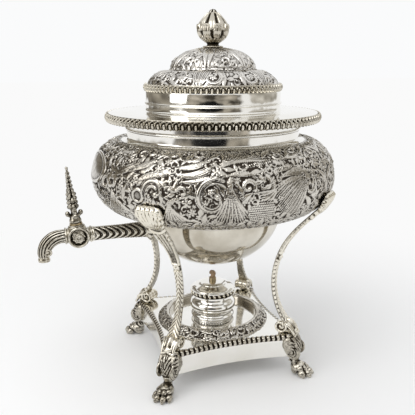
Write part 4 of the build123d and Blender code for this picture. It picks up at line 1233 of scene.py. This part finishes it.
def makeStraps():  # one bar and one base, turned to the four corners
    bar, base = strapBar(), strapBase()
    for name, angle in cornerAngles.items():
        part = [turnShell(bar, angle), turnShell(base, angle)]
        addPiece("strap_" + name + "_cast", part, "urn", castSilver, ["strap_" + name], 60)


# Feet: a leafy knee with side scrolls over the plinth's corner, and a lion's paw

foot = {"kneeTop": 46.0, "kneeDrop": 31.5, "eye": 100.6, "eyeHeight": 27.6, "rows": 90, "columns": 90, "cell": 0.50}


def footKnee():
    # fluted shell that hugs the corner: half width swells to 12.4 and falls to 4.6 at the ankle, reach swells at mid
    # height, and the flutes are |cos| of the distance from an eye on each side
    rows, columns = foot["rows"], foot["columns"]
    run = np.linspace(0, 1, rows)[:, None]
    across = np.linspace(-1, 1, columns)[None, :]
    high = foot["kneeTop"] - foot["kneeDrop"] * run
    half = np.interp(run[:, 0], [0, 0.15, 0.4, 0.62, 0.8, 1], [8.2, 11.2, 12.4, 10.4, 6.6, 4.6])[:, None]
    reach = np.interp(run[:, 0], [0, 0.2, 0.45, 0.7, 0.88, 1], [101.4, 106.2, 108.2, 106.4, 104.2, 103.6])[:, None]
    eye = np.hypot(half * (1.15 - np.abs(across)), (high - foot["eyeHeight"]) * 0.8)
    fan = np.abs(np.cos(np.pi * eye / 2.5)) ** 0.7
    relief = fan * 2.0 * np.clip(run * 8, 0, 1) * np.clip((0.93 - run) * 10, 0, 1)
    front = reach - 7.2 * np.abs(across) ** 2.2 + relief - 1.2
    back = np.interp(run[:, 0], [0, 0.45, 0.62, 0.75, 1], [92.0, 92.0, 94.0, 97.0, 98.0])[:, None] + 0 * across
    points = np.concatenate([
        np.stack([front, half * across + 0 * front, high + 0 * front], -1),
        np.stack([back[:, ::-1], half * across[:, ::-1] + 0 * back, high + 0 * back], -1),
    ], 1)
    dark = np.concatenate([np.clip(1.1 - fan, 0, 1) * np.ones(front.shape), np.zeros(front.shape)], 1)
    return cappedShell(points, dark)


def footShells():  # the knee, three scrolls and four fronds on each side, an ankle and a paw with four toes
    shells = [footKnee()]
    for side in (-1, 1):
        for radius, start, thick in ((9.4, 118, 1.25), (6.9, 100, 1.35), (4.4, 80, 1.3)):
            sweep, tighten = -330 if radius > 9 else -400, 0.5 if radius > 5 else 0.85
            arm = scroll((foot["eye"], foot["eyeHeight"]), radius, start, sweep, tighten, 90)
            wide = np.interp(np.linspace(0, 1, 90), [0, 0.25, 1], [0.8, thick, 0.8])
            bow = side * (8.2 + 0.9 * (9.4 - radius) / 5)
            shells.append(tubeShell(np.stack([arm[:, 0], bow + 0 * arm[:, 0], arm[:, 1]], -1), wide, 12, [0, 1, 0]))
        shells.append(ball((foot["eye"], side * 9.4, foot["eyeHeight"]), (2.1, 1.8, 2.1)))
        for k in range(4):
            path = curve((99.0 + 0.6 * k, 44.5), (107.4 + 0.4 * k, 38 - 2 * k), (103.8, 22.5 - 0.4 * k), 24)
            shells.append(
                tubeShell(
                    np.stack(
                        [path[:, 0] + 0.8, side * (8.0 - 1.9 * k) * np.linspace(1.05, 0.62, 24), path[:, 1]], -1
                    ),
                    1.0, 10, [0, 1, 0]
                )
            )
    ankle = np.array([[101.8, 0, 22.0], [101.6, 0, 16.5], [102.2, 0, 12.5], [104.6, 0, 9.5]])
    shells.append(
        tubeShell(evenly(ankle, 20), np.interp(np.linspace(0, 1, 20), [0, 0.45, 1], [6.0, 4.3, 6.0]), 24, [0, 1, 0])
    )
    shells.append(ball((106.0, 0, 8.2), (8.6, 8.6, 6.6)))
    shells.append(ball((103.6, 0, 4.2), (5.6, 7.2, 4.1)))
    for turn, far in ((-38, 12.6), (-13, 15.2), (13, 15.2), (38, 12.6)):
        c, s = math.cos(math.radians(turn)), math.sin(math.radians(turn))
        base = np.array([102.4, 0, 0])
        shells.append(ball(base + [far * c, far * s * 0.98, 4.0], (4.5, 3.4, 4.0)))
        shells.append(ball(base + [far * 0.72 * c, far * 0.74 * s, 8.4], (4.1, 3.1, 3.7)))
        shells.append(ball(base + [(far + 3.6) * c, (far + 3.0) * s * 0.98, 2.5], (2.0, 1.7, 2.4), 10, 12))
    return shells


def makeFeet():  # one foot, its sole cut flat at z = 0, turned to the four corners
    points, triangles, hollow = smoothBlob("foot", footShells(), foot["cell"], 2)
    points[:, 2] = np.maximum(points[:, 2], 0.0)
    for name, angle in cornerAngles.items():
        shell = turnShell((points, triangles, np.clip(hollow * 1.6 + 0.16, 0, 1)), angle)
        addPiece("foot_" + name + "_cast", [shell], "urn", agedSilver, ["foot_" + name], 70)


makeStraps()
makeFeet()
print("straps and feet made")


# Plinth: bowed sides, a plain skirt, a gadroon border and a chased ring round the lamp

plinth = {
    "half": 73.3, "bow": 7.0, "cut": 6.6, "low": 20.6, "top": 46.6, "wall": 1.5,
    "lobes": 23, "borderHalf": 62.3, "borderHeight": 43.9, "reach": 2.5, "swing": 2.4,
    "rows": 600, "columns": 21,
}


def plinthSide(count, inset=0.0):
    # one side as (along, out): out = half - bow * (1 - (along / length)^2), an arc that dips in the middle
    q = plinth
    length = q["half"] - q["cut"]
    along = np.linspace(-length, length, count)
    out = q["half"] - q["bow"] * (1 - (along / length) ** 2) - inset
    return np.stack([along * (1 - inset / length), out], -1)


def plinthOutline(inset=0.0, count=60):  # the four sides joined by short cuts across the corners, counter-clockwise
    points = []
    for turn in range(4):
        side = plinthSide(count, inset)
        c, s = math.cos(turn * math.pi / 2), math.sin(turn * math.pi / 2)
        x, y = side[:, 1], side[:, 0]
        points.append(np.stack([x * c - y * s, x * s + y * c], -1))
    return np.concatenate(points)


def wallBetween(rings):  # a closed wall from a run of (outline, height) rings
    points = np.stack([np.concatenate([o, np.full((len(o), 1), h)], -1) for o, h in rings])
    return gridShell(points, True, True)


def makePlinth():  # the outline drawn up as a skirt, and filled in as a plate from its middle outwards
    q = plinth
    outer, lip, inner = plinthOutline(0), plinthOutline(0.9), plinthOutline(q["wall"])
    skirt = wallBetween([
        (plinthOutline(0.5), q["low"]), (outer, q["low"] + 0.5), (outer, q["top"] - 6.4), (lip, q["top"] - 5.6),
        (lip, q["top"] - 1.7), (inner, q["top"] - 1.7), (inner, q["low"]),
    ])
    addPiece("plinthSkirt", [skirt], "urn", polishedSilver, ["plinth_skirt"])
    outline = plinthOutline(0.6)
    rings = [(outline * share, q["top"] + 0.04) for share in np.linspace(0.0, 1, 8)[1:]]
    low = [(outline * share, q["top"] - 1.6) for share in np.linspace(0.0, 1, 8)[:0:-1]]
    points = np.stack([np.concatenate([o, np.full((len(o), 1), h)], -1) for o, h in rings + low])
    middle = [np.broadcast_to([0, 0, h], (1, points.shape[1], 3)) for h in (q["top"] + 0.04, q["top"] - 1.6)]
    addPiece("plinthPlate", [gridShell(np.concatenate([middle[0], points, middle[1]]), False, True)],
             "urn", polishedSilver, ["plinth_plate"])
    makeBorder()


def makeBorder():
    # slanting lobes along each side; each lobe's lift = |sin(pi (lobe + lean))|^0.6 over a half-round section
    q = plinth
    rows, columns = q["rows"], q["columns"]
    half = q["borderHalf"]
    along = np.linspace(-half, half, rows)
    length = q["half"] - q["cut"]
    out = q["half"] - q["bow"] * (1 - (along / length) ** 2)
    slope = 2 * q["bow"] * along / length ** 2
    normal = np.stack([np.ones(rows), -slope], -1) / np.sqrt(1 + slope ** 2)[:, None]
    turn = np.radians(np.linspace(-100, 118, columns))[None, :]
    phase = along[:, None] / (2 * half) * q["lobes"] + 0.22 * turn / np.pi
    lobe = np.abs(np.sin(np.pi * phase)) ** 0.6
    ends = np.clip((half - np.abs(along)) / 0.8, 0.25, 1)[:, None]
    reach = (q["reach"] + (lobe - 0.5) * q["swing"]) * ends
    deep, high = reach * np.cos(turn), (2.9 + (lobe - 0.5) * 0.8) * ends * np.sin(turn)
    x = out[:, None] - 0.6 + deep * normal[:, :1]
    y = along[:, None] + deep * normal[:, 1:]
    z = q["borderHeight"] + high
    front = np.stack([x, y, z], -1)
    spine = np.stack([out - 1.2, along, np.full(rows, q["borderHeight"])], -1)[:, None]
    points = np.concatenate([front, spine], 1)
    worn = np.clip((0.80 - np.abs(np.sin(np.pi * phase))) * 2.2, 0, 0.85)
    dark = np.concatenate([worn * np.ones(front.shape[:2]), np.zeros((rows, 1))], 1)
    piece = cappedShell(points, dark)
    addPiece(
        "plinthBorder", [turnShell(piece, 90 * k) for k in range(4)], "urn", agedSilver,
        ["plinth_border"], 60
    )


well = {"columns": 720, "rows": 34, "middle": 58, "scrolls": 14}


def workWell(field):  # scrolls that lean both ways in turn, with flowers and small leaves between
    wide, tall = field["u"][-1], field["v"][-1]
    count = well["scrolls"]
    for k in range(count):
        u = wide * (k + 0.5) / count
        pressScroll(field, (u, tall * 0.5), 5.6, 10, 300 if k % 2 else -300, 1.3, 1.2)
        pressFlower(field, (u + wide / (2 * count), tall * 0.55), 4.6, 5, 1.2, 0.3 * k)
        arm = scroll((u + 6, tall * 0.3), 6, 200, 120, 0.3, 20)
        pressLeaf(field, arm, 2.4, 1.1, 4)
    fillBare(field, 21, 4.6, 3.8, 0.9, 0.8)


def makeWell():  # a rounded ring turned about the axis and lifted by its chased field
    line = [[63.2, 46.7], [62.8, 48.2], [58.8, 51.6], [55.2, 54.2], [53.0, 55.0], [51.0, 54.6], [50.1, 53.4]]
    profile = evenly(cutCorners(line, 2), well["rows"])
    run = np.linalg.norm(np.diff(profile, axis=0), axis=1).sum()
    field = chasingField(2 * np.pi * well["middle"], run, well["columns"], well["rows"])
    workWell(field)
    steps = np.arange(well["rows"])
    fade = np.clip(np.minimum(steps, steps[::-1] - 7) / 3, 0, 1)[:, None]
    lift = (field["h"] - 0.75) * fade
    inner = np.array([[50.0, 46.7], [50.0, 53.2]])
    shell = ringShell(profile, evenly(inner, 3), well["columns"], lift, darkHollows(field["h"], 4, 0.9) * fade)
    addPiece("lampWell", [shell], "urn", chasedSilver, ["lamp_well_ring"], 60)


# Spirit lamp: foot, reservoir, beaded burner cover, wick tube and wick

lamp = {"blocks": 44, "beads": 27}


def makeLamp():
    # the foot's edge is cut into small blocks, height = square wave round the rim
    profile = evenly([[22.4, 46.8], [22.4, 49.2], [20.0, 49.6]], 12)
    turns = lamp["blocks"] * 6
    wave = (np.arange(turns) % 6 < 4)[None, :]
    lift = np.where(wave, 0.0, -0.9) * np.clip(1 - np.abs(np.linspace(-1.1, 1.4, 12)), 0, 1)[:, None] * 1.6
    foot = gridShell(np.concatenate([
        np.broadcast_to([0, 0, 46.8], (1, turns, 3)), turned(profile, turns, lift),
        np.broadcast_to([0, 0, 49.6], (1, turns, 3)),
    ]), False, True, 0.1)
    addPiece("lampFoot", [foot], "lamp", brushedSilver, ["lamp_foot"])
    outer = cutCorners([
        [23.2, 49.65], [24.6, 50.2], [24.5, 51.6], [22.2, 53.6], [21.6, 55.2], [23.6, 57.6], [25.6, 60.6],
        [25.9, 64.0],
        [24.8, 67.4], [22.2, 70.0], [20.9, 72.4], [20.7, 74.6], [20.6, 75.95],
    ], 2)
    inner = np.array([[19.7, 75.95], [20.0, 71.5], [24.6, 65.5], [24.8, 60.0], [20.5, 52.0], [0.01, 50.7]])
    body = turnedShell(np.concatenate([[[0.01, 49.65]], outer, inner]), 160)
    addPiece("lampReservoir", [body], "lamp", polishedSilver, ["lamp_reservoir"], 40)


def makeBurner():  # a turned cover with two rims, a dark channel with a ring of leaning beads, and the wick tube
    outer = cutCorners([
        [19.6, 74.3], [19.6, 75.9], [22.6, 76.2], [22.8, 76.6], [22.8, 79.3], [22.8, 81.6], [24.2, 82.4],
        [23.6, 83.8],
        [20.8, 85.6], [17.0, 87.0], [15.6, 87.6], [15.2, 88.6], [12.0, 89.8], [8.0, 90.1], [4.2, 90.2],
    ], 2)
    inner = np.array([[4.2, 89.2], [11.4, 89.0], [18.4, 83.4], [18.6, 74.3]])
    cover = gridShell(turned(np.concatenate([outer, inner]), 160), True, True)
    rope = []
    bead = ball((0, 0, 0), (1.5, 1.5, 2.5), 12, 14)
    bead = moveShell(bead, [[1, 0, 0], [0, 0.87, 0.5], [0, -0.5, 0.87]], (23.9, 0, 79.2))
    for k in range(lamp["beads"]):
        rope.append(turnShell(bead, math.degrees(2 * math.pi * k / lamp["beads"])))
    low = turnedShell([[23.4, 76.3], [25.3, 76.3], [25.3, 76.9], [23.4, 76.9]], 160, closed=True)
    high = turnedShell([[23.4, 81.7], [25.3, 81.7], [25.3, 82.5], [23.4, 82.5]], 160, closed=True)
    channel = turnedShell([[22.0, 76.8], [23.2, 76.9], [23.2, 81.6], [22.0, 81.8]], 120, hollow=1.0, closed=True)
    addPiece("burnerBand", [channel], "burner", agedSilver, ["burner_cover"], 40)
    addPiece("burnerCover", [cover, low, high], "burner", polishedSilver, ["burner_cover"], 40)
    dark = [(p, t, np.clip((24.5 - np.hypot(p[:, 0], p[:, 1])) / 0.9, 0, 1)) for p, t, _ in rope]
    addPiece("burnerBeads", dark, "burner", castSilver, ["burner_cover"], 60)
    tube = gridShell(
        turned(np.array([[4.0, 75.0], [4.0, 93.9], [3.7, 94.2], [3.3, 93.9], [3.3, 75.0]]), 48), True, True
    )
    addPiece("wickTube", [tube], "burner", groundBrass, ["wick_tube"], 40)


wick = {"rows": 120, "columns": 36}


def makeWick():
    # twisted strands: radius = 2.3 + 0.5 |sin(2 a + 60 * run)|, curling over at the burnt end
    bends = [
        [0, 0, 62.0], [0, 0, 92.5], [0.2, 0.3, 96.4], [1.6, 1.0, 98.9], [0.6, 0.2, 100.5], [-1.9, -1.0, 99.9],
        [-3.3, -1.5, 98.0],
    ]
    line = evenly(cutCorners(bends, 3), wick["rows"])
    angle = around(wick["columns"])[None, :]
    run = np.linspace(0, 1, wick["rows"])[:, None]
    lift = 0.5 * np.abs(np.sin(2 * angle + run * 60))
    shell = tubeShell(
        line, np.interp(run[:, 0], [0, 0.72, 0.9, 1], [2.4, 2.3, 2.0, 1.3]), wick["columns"], [1, 0, 0], lift
    )
    addPiece("wickCurl", [shell], "burner", wickCotton, ["wick"], 60)


makePlinth()
makeWell()
makeLamp()
makeBurner()
makeWick()
print("plinth and lamp made")


# Camera, light and floor

viewpoint = {
    "side": 71.72, "yaw": 72.26, "pitch": 14.529, "roll": -0.055, "away": 0.61166, "tall": 0.33497,
    "lens": 49.28, "sensor": 36, "board": 72,
}


def placeCamera():
    # the photograph's viewpoint, its angles in degrees: turned by side from the front, pitched down by pitch
    side, yaw, pitch, roll = (math.radians(viewpoint[key]) for key in ("side", "yaw", "pitch", "roll"))
    away, tall = viewpoint["away"], viewpoint["tall"]
    camera = bpy.data.cameras.new("camera")
    camera.lens, camera.sensor_width = viewpoint["lens"], viewpoint["sensor"]
    camera.clip_start, camera.clip_end = 0.01, 50
    seat = placeObject("camera", camera)
    seat.location = (math.sin(side) * away, -math.cos(side) * away, tall)
    right = Vector((math.cos(yaw), math.sin(yaw), 0))
    forward = Vector((-math.sin(yaw) * math.cos(pitch), math.cos(yaw) * math.cos(pitch), -math.sin(pitch)))
    up = right.cross(forward)
    turn = Matrix((right, up, -forward)).transposed()
    seat.rotation_euler = (turn @ Matrix.Rotation(roll, 3, "Z")).to_euler()
    bpy.context.scene.camera = seat


def lampPanel(name, place, aim, size, power):  # a soft square lamp that faces its aim
    light = bpy.data.lights.new(name, "AREA")
    light.shape, light.size, light.energy = "SQUARE", size, power
    panel = placeObject(name, light)
    panel.location = place
    panel.rotation_euler = (Vector(aim) - Vector(place)).to_track_quat("-Z", "Y").to_euler()


def boardFinish(name, tone, warm, edge, mottle):
    # soft-edged board: dark in its middle, clear at its rim, by the distance from its rim and a slow noise
    finish = bpy.data.materials.new(name)
    finish.use_nodes = True
    tree = finish.node_tree
    tree.nodes.remove(tree.nodes["Principled BSDF"])
    place = addNode(tree, "TexCoord", {}).outputs["UV"]
    split = addNode(tree, "SeparateXYZ", {"Vector": place})
    shares = []
    for axis in ("X", "Y"):
        away = addNode(tree, "Math", {0: split.outputs[axis], 1: 0.5}, operation="PINGPONG").outputs["Value"]
        span = {"Value": away, "From Min": 0.0, "From Max": edge}
        shares.append(addNode(tree, "MapRange", span, interpolation_type="SMOOTHSTEP").outputs["Result"])
    both = addNode(tree, "Math", {0: shares[0], 1: shares[1]}, operation="MULTIPLY").outputs["Value"]
    ragged = addNode(tree, "Math", {0: both, 1: noiseAt(tree, 2.6, 4)}, operation="ADD").outputs["Value"]
    cut = rampBetween(tree, ragged, 0.80, 1.08, 0.0, 1.0)
    noise = addNode(tree, "TexNoise", {"Vector": place, "Scale": mottle}).outputs["Fac"]
    shade = rampBetween(tree, noise, 0.35, 0.68, tone, warm)
    glow = addNode(tree, "Emission", {"Color": shade}).outputs["Emission"]
    clear = addNode(tree, "BsdfTransparent", {}).outputs["BSDF"]
    mix = addNode(tree, "MixShader", {"Fac": cut, 1: clear, 2: glow}).outputs["Shader"]
    setInputs(tree, tree.nodes["Material Output"], {"Surface": mix})
    return finish


def surround(name, radius, low, high, start, stop, finish, columns=48):
    # part of an upright cylinder round the object that only mirrored rays see: a photographer's dark boards
    turn = np.radians(np.linspace(start, stop, columns))
    ring = np.stack([radius * np.sin(turn), -radius * np.cos(turn)], -1)
    points = np.concatenate([np.concatenate([ring, np.full((columns, 1), h)], 1) for h in (low, high)])
    c = np.arange(columns - 1)
    faces = np.stack([c, c + 1, columns + c + 1, columns + c], -1)
    mesh = bpy.data.meshes.new(name)
    mesh.from_pydata(points.tolist(), [], faces.tolist())
    corner = np.stack([c, c + 1, c + 1, c], -1) / (columns - 1)
    up = np.broadcast_to([0.0, 0.0, 1.0, 1.0], corner.shape)
    layer = mesh.uv_layers.new(name="board")
    layer.data.foreach_set("uv", np.stack([corner, up], -1).astype(np.float32).reshape(-1))
    mesh.materials.append(finish)
    board = placeObject(name, mesh)
    for ray in ("camera", "diffuse", "shadow", "volume_scatter"):
        setattr(board, "visible_" + ray, False)


def seenBy(tree, *rays):  # 1 for rays of these kinds, 0 for the others
    path = addNode(tree, "LightPath", {})
    seen = path.outputs["Is %s Ray" % rays[0]]
    for ray in rays[1:]:
        seen = addNode(
            tree, "Math", {0: seen, 1: path.outputs["Is %s Ray" % ray]}, operation="MAXIMUM"
        ).outputs["Value"]
    return seen


def makeFloor():
    # pale floor that keeps the shadow near the object and turns plain white with distance from it
    mesh = bpy.data.meshes.new("floor")
    mesh.from_pydata([(-9, -9, 0), (9, -9, 0), (9, 9, 0), (-9, 9, 0)], [], [(0, 1, 2, 3)])
    floor = placeObject("floor", mesh)
    finish, tree, shader = newFinish("paleFloor")
    setInputs(tree, shader, {"Base Color": (0.95, 0.95, 0.95, 1), "Roughness": 0.9})
    place = addNode(tree, "TexCoord", {}).outputs["Object"]
    length = addNode(tree, "VectorMath", {0: place}, operation="LENGTH").outputs["Value"]
    span = {"Value": length, "From Min": 0.16, "From Max": 0.62}
    fade = addNode(tree, "MapRange", span, interpolation_type="SMOOTHSTEP").outputs["Result"]
    seen = seenBy(tree, "Camera", "Transmission", "Glossy")
    amount = addNode(tree, "Math", {0: fade, 1: seen}, operation="MULTIPLY").outputs["Value"]
    white = addNode(tree, "Emission", {"Color": (0.955, 0.955, 0.955, 1)}).outputs["Emission"]
    mix = addNode(tree, "MixShader", {"Fac": amount, 1: shader.outputs["BSDF"], 2: white}).outputs["Shader"]
    setInputs(tree, tree.nodes["Material Output"], {"Surface": mix})
    mesh.materials.append(finish)


def makeSky():
    # white for the camera and in the silver, softer as a light
    world = bpy.data.worlds.new("studio")
    world.use_nodes = True
    tree = world.node_tree
    span = {"Value": seenBy(tree, "Camera", "Transmission", "Glossy"), "To Min": 0.86, "To Max": 1.03}
    strength = addNode(tree, "MapRange", span).outputs["Result"]
    setInputs(tree, tree.nodes["Background"], {"Color": (0.93, 0.935, 0.94, 1), "Strength": strength})
    bpy.context.scene.world = world


placeCamera()
makeFloor()
makeSky()
lampPanel("lampAbove", (0.5, -0.6, 1.3), (0, 0, 0.2), 0.9, 5)
lampPanel("lampLeft", (0.3, -1.2, 0.6), (0, 0, 0.2), 0.7, 3)
blackCloth = boardFinish("blackCloth", (0.006, 0.006, 0.007), (0.03, 0.03, 0.03), 0.5, 2.0)
greyCloth = boardFinish("greyCloth", (0.10, 0.088, 0.070), (0.46, 0.42, 0.35), 0.22, 2.5)
paleCloth = boardFinish("paleCloth", (0.05, 0.044, 0.034), (0.58, 0.53, 0.45), 0.3, 5.0)
sideCloth = boardFinish("sideCloth", (0.28, 0.26, 0.22), (0.78, 0.75, 0.69), 0.3, 3.0)
surround("boardFront", 1.62, -0.5, 1.15, viewpoint["board"] - 66, viewpoint["board"] + 62, paleCloth)
surround("boardBlack", 1.5, -0.42, 0.62, viewpoint["board"] - 44, viewpoint["board"] + 36, blackCloth)
surround("boardGrey", 1.7, 0.0, 1.5, -78, 30, greyCloth)
surround("boardSide", 1.7, 0.0, 1.5, 122, 218, sideCloth)
surround("boardPale", 1.7, 0.1, 1.3, 274, 310, paleCloth)
bpy.context.scene.view_settings.view_transform = "Standard"
print("camera, light and floor ready")
